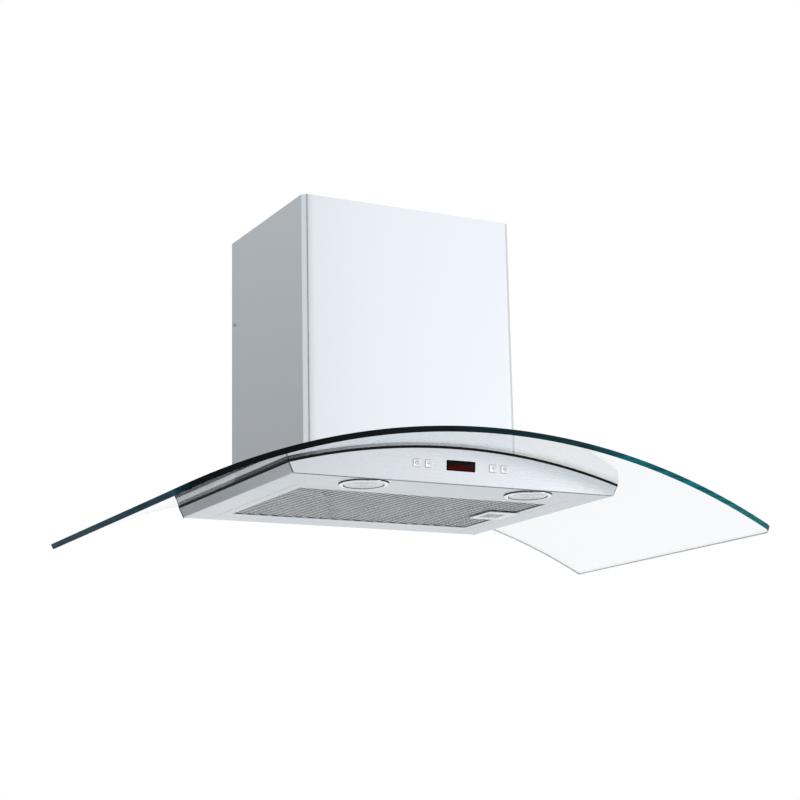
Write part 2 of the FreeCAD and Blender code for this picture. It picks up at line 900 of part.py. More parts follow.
def outlet_collar():
    up = Vector(0, 0, 1)
    centre = Vector(0, collar_y, lid_top)
    inner = collar_radius - collar_wall
    bore = flat_rod(inner / math.cos(math.pi / duct_flats), collar_height, centre, up, duct_flats)
    wall = rod(collar_radius, collar_height, centre, up)
    flange = flat_rod(collar_radius + collar_flange, collar_flange_thickness, centre, up,
                      small_flats)
    collar = wall.fuse(flange).removeSplitter().cut(bore)
    half = collar_stop_width / 2
    stops = []
    for side in (-1, 1):
        ends = sorted((side * (inner - collar_stop), side * (inner + collar_wall / 2)))
        stops.append(block(-half, half, collar_y + ends[0], collar_y + ends[1],
                           stop_top() - collar_stop_height, stop_top()))
    collar = collar.fuse(stops).removeSplitter()
    reach = pin_reach() + pin_end_gap
    for side in (-1, 1):
        base = Vector(-reach, collar_y + side * pin_offset, pin_z())
        collar = collar.cut(rod(pin_radius + pin_running, 2 * reach, base, Vector(1, 0, 0)))
    return collar


def pin_z():
    return lid_top + pin_height


def stop_top():
    return pin_z() - flap_thickness / 2 - flap_rest_gap


def pin_reach():
    """Half the length of a flap's spine, which ends inside the collar's wall."""
    return math.sqrt((collar_radius - collar_wall / 2) ** 2 - pin_offset ** 2)


def damper_flap(side):
    """Half disc on a spine whose ends turn in the collar; side -1 is the front one."""
    line = collar_y + side * pin_offset
    radius = collar_radius - collar_wall - flap_gap
    base = Vector(0, collar_y, pin_z() - flap_thickness / 2)
    disc = flat_rod(radius, flap_thickness, base, Vector(0, 0, 1), duct_flats)
    near, far = sorted((line, collar_y + side * 2 * collar_radius))
    half_plane = block(-collar_radius, collar_radius, near, far, pin_z() - cut_over,
                       pin_z() + cut_over)
    spine = flat_rod(pin_radius, 2 * pin_reach(), Vector(-pin_reach(), line, pin_z()),
                     Vector(1, 0, 0), small_flats)
    return disc.common(half_plane).fuse(spine).removeSplitter()


# Electrical parts

def capacitor():
    x = -airbox_width / 2 + airbox_sheet + inner_gap + capacitor_radius
    return flat_rod(capacitor_radius, capacitor_height, Vector(x, capacitor_y, capacitor_z),
                    Vector(0, 0, 1), motor_sides)


def terminal_top():
    """Just below the airbox's lip."""
    return airbox_top - airbox_sheet - inner_gap


def terminal_box():
    width, depth, height = terminal_size
    top = terminal_top()
    return block(terminal_x - width / 2, terminal_x + width / 2, terminal_y - depth / 2,
                 terminal_y + depth / 2, top - height, top)


def cable_gland():
    """Its bore fits the cable above the lid, and is wider below."""
    up = Vector(0, 0, 1)
    base = Vector(terminal_x, terminal_y, terminal_top())
    seat = Vector(terminal_x, terminal_y, lid_top)
    stem = flat_rod(gland_radius, lid_top + gland_height - base.z, base, up, small_flats)
    nut = flat_rod(gland_nut, gland_nut_height, seat, up, hex_sides)
    gland = stem.fuse(nut).removeSplitter()
    gland = gland.cut(rod(gland_relief, seat.z + gland_step - base.z, base, up))
    return gland.cut(rod(gland_bore, gland_height, seat, up))


def lamp_transformer():
    width, depth, height = transformer_size
    rear = -rear_gap - sheet - transformer_rear
    return block(transformer_x - width / 2, transformer_x + width / 2, rear - depth, rear,
                 sheet, sheet + height)


# Chimney

def chimney_cover():
    half = chimney_width / 2
    rear = -chimney_rear_gap
    inner = half - chimney_return
    path = [(-inner, rear), (-half, rear), (-half, -chimney_depth), (half, -chimney_depth),
            (half, rear), (inner, rear)]
    corner = chimney_corner - chimney_sheet
    back = chimney_return_radius - chimney_sheet
    cover = folded(path, chimney_sheet, [back, corner, corner, back], in_plan(0),
                   Vector(0, 0, chimney_top))
    cover = cover.cut(barrel(glass_top_radius + chimney_seat))
    for side in (-1, 1):
        cover = cover.cut(screw_rod(screw_radius + screw_clearance, side, half - cut_over,
                                    half + cut_over, small_flats))
    return cover


def screw_rod(radius, side, near, far, sides):
    base = Vector(side * near, screw_y, bracket_centre)
    return flat_rod(radius, far - near, base, Vector(side, 0, 0), sides)


def inner_flue():
    inset = chimney_sheet + flue_gap
    half = chimney_width / 2 - inset
    front = -chimney_depth + inset
    path = [(-half, -flue_rear), (-half, front), (half, front), (half, -flue_rear)]
    corner = chimney_corner - inset - chimney_sheet
    top = chimney_top - flue_top_gap
    return folded(path, chimney_sheet, [corner, corner], in_plan(top - flue_length),
                  Vector(0, 0, flue_length))


def chimney_bracket():
    near = airbox_width / 2
    far = chimney_width / 2 - chimney_sheet
    front = -bracket_rear - bracket_depth
    path = [(near, front), (near, -bracket_rear), (far, -bracket_rear), (far, front)]
    base = bracket_centre - bracket_height / 2
    points = bent_section(path, -bracket_thickness, [0.0, 0.0])[0]
    bracket = prism(points, [0.0] * len(points), in_plan(base), Vector(0, 0, bracket_height))
    hole = screw_rod(screw_radius + shaft_fit, 1, far - cut_over, far + cut_over, small_flats)
    return bracket.cut(hole)


def chimney_screws():
    face = chimney_width / 2
    screws = []
    for side in (-1, 1):
        shank = screw_rod(screw_radius, side, face - screw_length, face, small_flats)
        head = screw_rod(screw_head_radius, side, face, face + screw_head_height, cup_flats)
        screws.append(shank.fuse(head).removeSplitter())
    return Part.makeCompound(screws)


# Lamps

def lamp_bezel():
    """Rounded ring under the strip, with a seat for the lens."""
    outer, inner = lamp_ring_radius, lamp_lens_radius
    seat = inner + lens_overlap + lens_gap
    section = [(outer, 0.0), (outer - lamp_edge, -lamp_drop * lamp_shoulder), (inner, -lamp_drop),
               (inner, -lamp_drop + lamp_lip), (seat, -lamp_drop + lamp_lip), (seat, 0.0)]
    return turned_flats(section, lamp_flats, lamp_x, lamp_y)


def lamp_lens():
    low = -lamp_drop + lamp_lip + lens_gap
    base = Vector(lamp_x, lamp_y, low)
    return flat_rod(lamp_lens_radius + lens_overlap, lens_thickness, base, Vector(0, 0, 1),
                    lamp_flats)


def lamp_cup():
    """Faceted reflector that stands on the ring."""
    top, outer, bend = cup_height, cup_radius, cup_height / 2
    roof = outer - cup_taper
    section = [(outer, lens_gap), (outer, bend), (roof, top), (0.0, top), (0.0, top - cup_wall),
               (roof - cup_wall / 2, top - cup_wall), (outer - cup_wall, bend - cup_wall / 2),
               (outer - cup_wall, lens_gap)]
    return turned_flats(section, cup_flats, lamp_x, lamp_y)


def lamp_led():
    """Round board under the cup's roof, with one square light source."""
    up = Vector(0, 0, 1)
    low = cup_height - cup_wall - led_board_thickness
    board = flat_rod(led_board_radius, led_board_thickness, Vector(lamp_x, lamp_y, low), up,
                     small_flats)
    half = led_chip / 2
    chip = block(lamp_x - half, lamp_x + half, lamp_y - half, lamp_y + half,
                 low - led_chip_height, low)
    return board.fuse(chip).removeSplitter()


# Controls

def display_window():
    pane = front_block(display_width, display_height, -display_proud, sheet + inner_gap,
                       display_corner)
    rim = front_block(display_width + 2 * window_rim, display_height + 2 * window_rim,
                      sheet + inner_gap / 3, display_depth)
    return on_front(pane.fuse(rim).removeSplitter(), 0.0)


def display_module():
    return on_front(front_block(module_width, module_height, display_depth, board_front), 0.0)


def button(x):
    cap = front_block(button_size, button_size, -button_proud, button_depth, button_corner)
    outer = button_size + 2 * button_flange
    flange = front_block(outer, outer, button_depth - button_flange_height, button_depth)
    stem = front_block(stem_width, stem_width, button_depth, stem_tip)
    return on_front(cap.fuse([flange, stem]).removeSplitter(), x)


def button_switches():
    switches = []
    for x in button_places().values():
        body = front_block(switch_size, switch_size, switch_front, board_front)
        bore = front_block(switch_bore, switch_bore, 0.0, switch_front + switch_bore_depth)
        switches.append(on_front(body.cut(bore), x))
    return Part.makeCompound(switches)


def control_board():
    board = front_block(board_width, board_height, board_front, board_front + board_thickness)
    return on_front(board, 0.0)


def control_box():
    """Tray behind the panel, open to the front, with ribs that hold the board."""
    near = sheet + inner_gap / 3
    outer = front_block(box_width, box_height, near, near + box_depth)
    inner = front_block(box_width - 2 * box_wall, box_height - 2 * box_wall, 0.0,
                        near + box_depth - box_wall)
    tray = outer.cut(inner)
    ribs = []
    start = board_front + board_thickness + inner_gap
    for side in (-1, 1):
        rib = front_block(box_wall, board_height, start, near + box_depth - box_wall / 2)
        rib.translate(Vector(side * (board_width / 2 - box_wall), 0, 0))
        ribs.append(rib)
    return on_front(tray.fuse(ribs).removeSplitter(), 0.0)


# Grease filter

def frame_plan(margin, z0, z1):
    """The filter's opening, widened by a margin."""
    return block(-opening_half - margin, opening_half + margin,
                 -filter_front + seam + frame_front_rail - margin,
                 -filter_rear - frame_rear_rail + margin, z0, z1)


def filter_frame():
    body = block(-frame_half, frame_half, -filter_front + seam, -filter_rear, 0.0,
                 frame_height, frame_corner)
    body = body.cut(frame_plan(0.0, -1, frame_height + 1))
    body = body.cut(block(-frame_half + frame_skin, frame_half - frame_skin,
                          -filter_front + seam + frame_skin, -filter_rear - frame_skin,
                          frame_skin, frame_height - frame_skin))
    tongues = []
    for place in tongue_places:
        low = sheet + slide_gap
        tongues.append(block(-frame_half - tongue_reach, -frame_half + 1, -place - tongue_width / 2,
                             -place + tongue_width / 2, low, low + tongue_thickness))
    body = body.fuse(tongues).removeSplitter()
    half = slide_width / 2 + slide_gap
    hole = block(opening_half - 1, frame_half + 1, latch_y - half, latch_y + half, sheet,
                 sheet + slide_thickness + 2 * slide_gap)
    return body.cut(hole)


def pocket_clearance():
    """Room cut in the mesh layers for the latch's pocket and slide."""
    half = pocket_length / 2 + latch_sheet + inner_gap
    return block(pocket_left - latch_sheet - inner_gap, frame_half, latch_y - half, latch_y + half,
                 0.0, frame_height)


def mesh_sheet(low):
    """Expanded sheet: rows of diamond gaps, every other row shifted by half a pitch."""
    plate = frame_plan(mesh_lap, low, low + mesh_thickness)
    width = 2 * (opening_half - gap_margin)
    depth = filter_front - seam - frame_front_rail - filter_rear - frame_rear_rail - 2 * gap_margin
    pitch_x = width / (gap_columns + 0.5)
    pitch_y = depth / gap_rows
    rear = -filter_rear - frame_rear_rail - gap_margin
    gaps = []
    for row in range(gap_rows):
        y = rear - pitch_y * (row + 0.5)
        shift = pitch_x / 2 if row % 2 else 0.0
        for column in range(gap_columns):
            x = -width / 2 + pitch_x * (column + 0.5) + shift
            if x > pocket_left - gap_length and abs(y - latch_y) < pocket_length / 2 + gap_width:
                continue
            gaps.append(diamond(x, y, low))
    face = plate.cut(gaps)
    return face.cut(pocket_clearance())


def diamond(x, y, low):
    points = [(x - gap_length / 2, y), (x, y - gap_width / 2), (x + gap_length / 2, y),
              (x, y + gap_width / 2)]
    return prism(points, [0.0] * 4, in_plan(low - 1), Vector(0, 0, mesh_thickness + 2))


def lower_mesh_z():
    return frame_skin + mesh_gap


def upper_mesh_z():
    return frame_height - frame_skin - mesh_gap - mesh_thickness


def filter_core():
    """Corrugated sheet between the two mesh sheets, its waves running front to back."""
    low = lower_mesh_z() + mesh_thickness + mesh_gap
    high = upper_mesh_z() - mesh_gap - core_thickness
    half = opening_half + mesh_lap
    count = int(2 * half / core_wave)
    pitch = 2 * half / count
    crest = core_crest / 2
    lower = [(-half, low)]
    for i in range(count):
        centre = -half + pitch * (i + 0.5)
        start = centre - pitch / 2 + crest
        lower += [(start, low), (centre - crest, high), (centre + crest, high),
                  (centre + pitch / 2 - crest, low)]
    lower.append((half, low))
    upper = [(x, z + core_thickness) for x, z in reversed(lower)]
    front = -filter_front + seam + frame_front_rail - mesh_lap
    rear = -filter_rear - frame_rear_rail + mesh_lap
    points = lower + upper
    core = prism(points, [0.0] * len(points), in_front(front), Vector(0, rear - front, 0))
    return core.cut(pocket_clearance())


def latch_plate():
    """Bright plate lapped onto the frame's right rail, with a pocket for the finger."""
    half = latch_length / 2
    low = -latch_sheet
    plate = block(latch_left, opening_half + latch_lap, latch_y - half, latch_y + half, low, 0.0,
                  latch_corner)
    inner = pocket_length / 2
    pocket = block(pocket_left - latch_sheet, pocket_right + latch_sheet,
                   latch_y - inner - latch_sheet, latch_y + inner + latch_sheet, low, pocket_top)
    hollow = block(pocket_left, pocket_right, latch_y - inner, latch_y + inner, low - 1,
                   pocket_top - latch_sheet)
    gap = slide_width / 2 + slide_gap
    slot = block(pocket_right - 1, pocket_right + 2 * latch_sheet, latch_y - gap, latch_y + gap,
                 sheet, sheet + slide_thickness + 2 * slide_gap)
    return plate.fuse(pocket).removeSplitter().cut(hollow).cut(slot)


def latch_slide():
    """Sliding tongue that rests on the side's flange, with a lug for the finger."""
    low = sheet + slide_gap
    half = slide_width / 2
    tongue = block(lug_left, frame_half + slide_reach, latch_y - half, latch_y + half, low,
                   low + slide_thickness)
    lug = block(lug_left, lug_left + lug_thickness, latch_y - lug_width / 2,
                latch_y + lug_width / 2, -lug_drop, lug_top)
    return tongue.fuse(lug).removeSplitter()


def pieces():
    made = {
        "glass_canopy": glass_canopy(),
        "glass_gasket": glass_gasket(),
        "front_panel": front_panel(),
        "side_panel_right": side_panel(),
        "rear_panel": rear_panel(),
        "rear_edge_trim": rear_edge_trim(),
        "top_deck": top_deck(),
        "airbox": airbox(),
        "airbox_lid": airbox_lid(),
        "glass_bolts": glass_bolts(),
        "glass_pads": glass_pads(),
        "glass_nuts": glass_nuts(),
        "blower_scroll": blower_scroll(),
        "impeller": impeller(),
        "motor": motor(),
        "motor_shaft": motor_shaft(),
        "motor_bracket": motor_bracket(),
        "motor_feet": motor_feet(),
        "outlet_adapter": outlet_adapter(),
        "outlet_collar": outlet_collar(),
        "damper_flap_front": damper_flap(-1),
        "damper_flap_rear": damper_flap(1),
        "capacitor": capacitor(),
        "terminal_box": terminal_box(),
        "cable_gland": cable_gland(),
        "lamp_transformer": lamp_transformer(),
        "chimney_cover": chimney_cover(),
        "inner_flue": inner_flue(),
        "chimney_bracket_right": chimney_bracket(),
        "chimney_screws": chimney_screws(),
        "lamp_bezel_right": lamp_bezel(),
        "lamp_lens_right": lamp_lens(),
        "lamp_cup_right": lamp_cup(),
        "lamp_led_right": lamp_led(),
        "display_window": display_window(),
        "display_module": display_module(),
        "button_switches": button_switches(),
        "control_board": control_board(),
        "control_box": control_box(),
        "filter_frame": filter_frame(),
        "filter_mesh_lower": mesh_sheet(lower_mesh_z()),
        "filter_core": filter_core(),
        "filter_mesh_upper": mesh_sheet(upper_mesh_z()),
        "latch_plate": latch_plate(),
        "latch_slide": latch_slide(),
    }
    for name, x in button_places().items():
        made["button_" + name] = button(x)
    for name in [n for n in made if n.endswith("_right")]:
        made[name.replace("_right", "_left")] = mirrored(made[name])
    return made


def main():
    os.makedirs("parts", exist_ok=True)
    for name, shape in pieces().items():
        shape.translate(Vector(0, 0, -fixing_height))
        solids = len(shape.Solids)
        if not shape.isValid() or solids == 0:
            raise ValueError(name + " is not a valid solid")
        print(f"{name}: {solids} solid(s), {shape.Volume / 1000:.2f} cm3")
        shape.exportStep("parts/" + name + ".step")


if __name__ == "__main__":
    main()
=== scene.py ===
import json
import math

import bmesh
import bpy
from bpy.props import FloatProperty, FloatVectorProperty, IntProperty, PointerProperty
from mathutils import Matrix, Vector


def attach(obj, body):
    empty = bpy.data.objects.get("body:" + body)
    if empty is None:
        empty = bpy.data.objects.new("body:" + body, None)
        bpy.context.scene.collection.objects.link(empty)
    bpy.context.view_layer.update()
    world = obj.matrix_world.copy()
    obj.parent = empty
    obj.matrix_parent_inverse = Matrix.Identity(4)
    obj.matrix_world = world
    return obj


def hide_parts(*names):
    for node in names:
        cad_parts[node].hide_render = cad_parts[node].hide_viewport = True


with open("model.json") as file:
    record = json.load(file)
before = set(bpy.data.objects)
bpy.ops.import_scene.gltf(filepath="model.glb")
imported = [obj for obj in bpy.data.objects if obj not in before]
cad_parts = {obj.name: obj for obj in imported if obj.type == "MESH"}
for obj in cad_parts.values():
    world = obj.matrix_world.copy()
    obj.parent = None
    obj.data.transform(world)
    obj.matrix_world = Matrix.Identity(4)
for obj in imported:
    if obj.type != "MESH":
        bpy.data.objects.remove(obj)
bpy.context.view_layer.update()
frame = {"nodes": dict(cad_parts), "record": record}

bl_info = {
    "name": "Curved glass range hood",
    "version": (1, 0, 0),
    "blender": (4, 5, 0),
    "location": "View3D > Sidebar > Range hood",
    "description": "Dresses the wall-hung range hood: bent glass, steel body, chimney, filter, "
                   "lamps and buttons",
    "category": "Add Mesh",
}

MM = 0.001
FIXING_HEIGHT = 290.0  # the wall screws above the body's underside, where the origin is

# Drawn sizes in millimetres, with z = 0 at the body's underside
ARC_CENTRE = -928.7
GLASS_UNDER, GLASS_TOP = 981.0, 989.0
GLASS_HALF_WIDTH, GLASS_FRONT, GLASS_REAR = 451.0, -500.5, -0.5
NOTCH_HALF, NOTCH_FRONT, NOTCH_RADIUS = 150.0, -231.0, 15.0
BOLT_OFFSET, BOLT_Y, BOLT_HOLE = 161.0, -130.0, 3.3
FRONT_LEAN, FRONT_Y, CONTROL_Z = 6.0, -398.0, 26.0
CHIMNEY_HALF, CHIMNEY_FRONT, CHIMNEY_REAR, CHIMNEY_TOP = 173.0, -267.0, -1.0, 437.0
NET_HALF, NET_FRONT, NET_REAR = 206.0, -311.0, -54.2
NET_LOW, NET_HIGH = 1.3, 1.7
GLASS_CORNER = 12.0
DARK_FRONT, DARK_LEFT = 14.0, -440.0  # the rim is dark, a painted reflection on the polished edge, this near to the front, and left of this x
SHEET = 1.0
CHIMNEY_FLANGE, REAR_FOLD, CHIMNEY_GAP = 13.0, 2.0, 0.4
LIP_PROUD, LIP_DEPTH, LIP_TUCK, LIP_DROP = 0.3, 0.3, 0.1, 1.3
LIP_PLACES = (-100.0, -200.0, -300.0)  # where the lip's side runs are divided
SEAM_FOOT, SEAM_PROUD, SEAM_WIDE, SEAM_DEEP, SEAM_BACK = 1.5, 0.08, 0.7, 0.6, 0.4
SYMBOL_WIDTH, SYMBOL_BACK, SYMBOL_FACE = 0.55, -0.60, -0.71
# Sections of a button cap: depth behind the front's face, half width and corner radius
CAP_SECTIONS = ((6.3, 1.3, 0.1), (2.3, 1.3, 0.1), (2.3, 6.8, 0.4), (1.4, 6.8, 0.4),
                (1.4, 5.5, 1.5), (-0.35, 5.5, 1.5), (-0.62, 5.37, 1.4), (-0.76, 5.1, 1.3),
                (-0.8, 4.6, 1.2), (-0.66, 3.9, 1.1))
# Sections of the display pane: depth, half width, half height and corner radius
PANE_SECTIONS = ((2.2, 24.1, 8.6, 0.4), (1.1, 24.1, 8.6, 0.4), (1.1, 22.5, 7.0, 1.2),
                 (-0.05, 22.5, 7.0, 1.2), (-0.16, 22.42, 6.92, 1.2), (-0.2, 22.25, 6.75, 1.1))
POCKET_LEFT, POCKET_NEAR, POCKET_FAR = 158.7, -204.3, -167.7
LAMP_X, LAMP_Y = 130.0, -362.0
SIDES = ((-1, "left"), (1, "right"))
BODY_HALF, SIDE_LEAN, BODY_REAR, GASKET_UNDER = 250.5, 26.5, -4.0, 978.5
BUTTON_X = {
    "button_power": -69.0,
    "button_minus": -50.5,
    "button_plus": 50.5,
    "button_light": 69.0,
}
BUTTON_BODY = {
    "button_power": "power_button",
    "button_minus": "minus_button",
    "button_plus": "plus_button",
    "button_light": "light_button",
}


# Stage, in metres
FLOOR_HALF, FLOOR_Z, FLOOR_WHITE = 8.0, -1.0, 0.75
STUDIO_WHITE = (0.97, 0.985, 1.0, 1.0)
WORLD_COLOUR, WORLD_LEVEL = (0.96, 0.98, 1.0, 1.0), 0.85
LAMPS = (  # name, place, what it points at, size, power in watts
    ("softbox_front", (1.85, -2.50, 0.65), (0.1, -0.3, 0.0), (1.9, 1.9), 5.0),
    ("softbox_right", (2.20, -2.30, -0.30), (0.25, -0.4, -0.27), (1.1, 0.8), 4.5),
    ("softbox_above", (-0.4, -0.9, 2.6), (0.0, -0.3, 0.0), (2.6, 2.6), 9.0),
)
CARDS = (  # name, place, what it points at, size, grey level
    ("grey_card_left", (-1.25, 1.55, 0.35), (-0.17, -0.15, 0.0), (2.6, 2.6), 0.58),
    ("grey_card_front", (-0.65, -3.30, 0.75), (-0.17, -0.26, 0.0), (0.9, 3.4), 0.20),
    ("grey_card_below", (0.15, -0.55, -0.98), (0.15, -0.5501, 0.0), (1.5, 1.0), 0.15),
)
CARD_FADE = 0.4  # how far a card's level goes down and up from its one end to the other
CAMERA_LENS, CAMERA_SENSOR = 82.1355, 36.0
CAMERA_PLACE = (-1.224365, -2.535734, -0.721139)
CAMERA_TURN = (102.64604, 1.16440, -27.67037)  # degrees


class HoodSizes(bpy.types.PropertyGroup):
    """Sizes that the looks need and the solids leave plain."""

    glass_arris: FloatProperty(
        name="Glass arris", description="Width of the ground edge round the glass",
        default=0.0009, min=0.0002, max=0.003, unit="LENGTH", subtype="DISTANCE")
    glass_strips: IntProperty(
        name="Glass strips", description="Flat strips that the bend is divided into",
        default=96, min=24, max=200)
    chimney_corner: FloatProperty(
        name="Chimney corner", description="Outer radius of the chimney's front folds",
        default=0.0095, min=0.002, max=0.02, unit="LENGTH", subtype="DISTANCE")
    sheet_edge: FloatProperty(
        name="Sheet edge", description="Rounding of the cut edges of the steel sheets",
        default=0.00025, min=0.0001, max=0.0005, unit="LENGTH", subtype="DISTANCE")
    net_length: FloatProperty(
        name="Net cell length", description="Long way of a diamond in the filter's expanded sheet",
        default=0.0197, min=0.01, max=0.04, unit="LENGTH", subtype="DISTANCE")
    net_width: FloatProperty(
        name="Net cell width", description="Short way of a diamond in the filter's expanded sheet",
        default=0.0102, min=0.005, max=0.03, unit="LENGTH", subtype="DISTANCE")
    net_strand: FloatProperty(
        name="Net strand", description="Width of a strand of the expanded sheet",
        default=0.0015, min=0.0008, max=0.004, unit="LENGTH", subtype="DISTANCE")


class HoodColours(bpy.types.PropertyGroup):
    """Colours of the finishes."""

    steel: FloatVectorProperty(
        name="Brushed steel", description="Body, chimney and filter frame",
        default=(0.625, 0.660, 0.695), size=3, min=0, max=1, subtype="COLOR")
    galvanised: FloatVectorProperty(
        name="Galvanised steel", description="Fan box, deck and brackets",
        default=(0.50, 0.52, 0.54), size=3, min=0, max=1, subtype="COLOR")
    chrome: FloatVectorProperty(
        name="Chrome", description="Lamp rings",
        default=(0.86, 0.87, 0.88), size=3, min=0, max=1, subtype="COLOR")
    glass: FloatVectorProperty(
        name="Glass", description="Tint that the glass takes up with depth",
        default=(0.28, 0.47, 0.55), size=3, min=0, max=1, subtype="COLOR")
    glass_edge: FloatVectorProperty(
        name="Glass edge", description="Sea green that shows where the glass ends",
        default=(0.0, 0.15, 0.165), size=3, min=0, max=1, subtype="COLOR")
    rubber: FloatVectorProperty(
        name="Rubber", description="Gasket, trims and pads",
        default=(0.006, 0.006, 0.007), size=3, min=0, max=1, subtype="COLOR")
    display_glow: FloatVectorProperty(
        name="Display filter", description="Dark red filter in the display window",
        default=(0.075, 0.0005, 0.001), size=3, min=0, max=1, subtype="COLOR")
    floor: FloatVectorProperty(
        name="Floor", description="Pale studio floor",
        default=(0.80, 0.80, 0.80), size=3, min=0, max=1, subtype="COLOR")


# Finishes

NOISE_LOW, NOISE_HIGH = 0.3, 0.7
FINE_SHARE, BROAD_SHARE = 0.65, 0.35
COAT_ROUGHNESS = 0.08
RELIEF = 0.0001  # metres
GLASS_SMEAR, GLASS_DENSITY, GLASS_IOR = 0.012, 6.0, 1.5
GLASS_SHADOW = (0.93, 0.95, 0.955, 1.0)
LENS_CLEAR = 0.12
# how far along the glass, and which share of its sea green shows there; the low shares are a
# painted dark reflection
EDGE_SHARES = ((0.02, 0.02), (0.16, 0.01), (0.42, 0.03), (0.52, 0.16), (0.66, 0.20), (0.76, 0.9))
EDGE_BLUE = 1.2


def node(tree, kind, values=(), **settings):
    """New node with its settings, and input values given as (name, value) pairs."""
    made = tree.nodes.new(kind)
    for key, value in settings.items():
        setattr(made, key, value)
    for key, value in values:
        made.inputs[key].default_value = value
    return made


def noise(tree, stretch, detail=3.0):
    """Noise in the object's own coordinates, with cycles per metre along x, y and z."""
    place = node(tree, "ShaderNodeTexCoord")
    scaled = node(tree, "ShaderNodeMapping", [("Scale", stretch)])
    made = node(tree, "ShaderNodeTexNoise", [("Scale", 1.0), ("Detail", detail)])
    tree.links.new(place.outputs["Object"], scaled.inputs["Vector"])
    tree.links.new(scaled.outputs["Vector"], made.inputs["Vector"])
    return made.outputs["Fac"]


def spread(tree, value, low, high):
    """The noise's middle part mapped to the range from low to high."""
    made = node(tree, "ShaderNodeMapRange", [("From Min", NOISE_LOW), ("From Max", NOISE_HIGH),
                                             ("To Min", low), ("To Max", high)])
    tree.links.new(value, made.inputs["Value"])
    return made.outputs["Result"]


def mix_shader(tree, factor, first, second):
    """The first shader where the factor is 0, the second where it is 1."""
    either = node(tree, "ShaderNodeMixShader")
    for value, place in ((factor, "Fac"), (first, 1), (second, 2)):
        tree.links.new(value, either.inputs[place])
    return either.outputs["Shader"]


def larger(tree, first, second):
    made = node(tree, "ShaderNodeMath", operation="MAXIMUM")
    tree.links.new(first, made.inputs[0])
    tree.links.new(second, made.inputs[1])
    return made.outputs[0]


def blend_colour(tree, factor, first, second):
    made = node(tree, "ShaderNodeMix", data_type="RGBA")
    made.inputs["A"].default_value = (*first, 1.0)
    made.inputs["B"].default_value = (*second, 1.0)
    tree.links.new(factor, made.inputs["Factor"])
    return made.outputs["Result"]


def finish(name, colour, metallic, roughness, grain, tone, rough_spread, bump, coat=0.0,
           smudge=6.0, shine=0.5):
    """A surface with fine grain, uneven tone and uneven gloss."""
    made = bpy.data.materials.get(name)
    if made:
        return made
    made = bpy.data.materials.new(name)
    made.use_nodes = True
    tree = made.node_tree
    shader = tree.nodes["Principled BSDF"]
    shader.inputs["Metallic"].default_value = metallic
    shader.inputs["Coat Weight"].default_value = coat
    shader.inputs["Specular IOR Level"].default_value = shine
    shader.inputs["Coat Roughness"].default_value = COAT_ROUGHNESS
    fine = noise(tree, grain)
    broad = noise(tree, (smudge, smudge, smudge), detail=2.0)
    mixed = node(tree, "ShaderNodeMath", operation="ADD")
    tree.links.new(spread(tree, fine, 0.0, FINE_SHARE), mixed.inputs[0])
    tree.links.new(spread(tree, broad, 0.0, BROAD_SHARE), mixed.inputs[1])
    dark = tuple(c * (1 - tone) for c in colour)
    light = tuple(min(1.0, c * (1 + tone)) for c in colour)
    tree.links.new(blend_colour(tree, mixed.outputs[0], dark, light), shader.inputs["Base Color"])
    low, high = max(0.0, roughness - rough_spread), min(1.0, roughness + rough_spread)
    tree.links.new(spread(tree, mixed.outputs[0], low, high), shader.inputs["Roughness"])
    relief = node(tree, "ShaderNodeBump", [("Strength", bump), ("Distance", RELIEF)])
    tree.links.new(fine, relief.inputs["Height"])
    tree.links.new(relief.outputs["Normal"], shader.inputs["Normal"])
    return made


def even(cycles):
    """The same grain along x, y and z."""
    return (cycles, cycles, cycles)


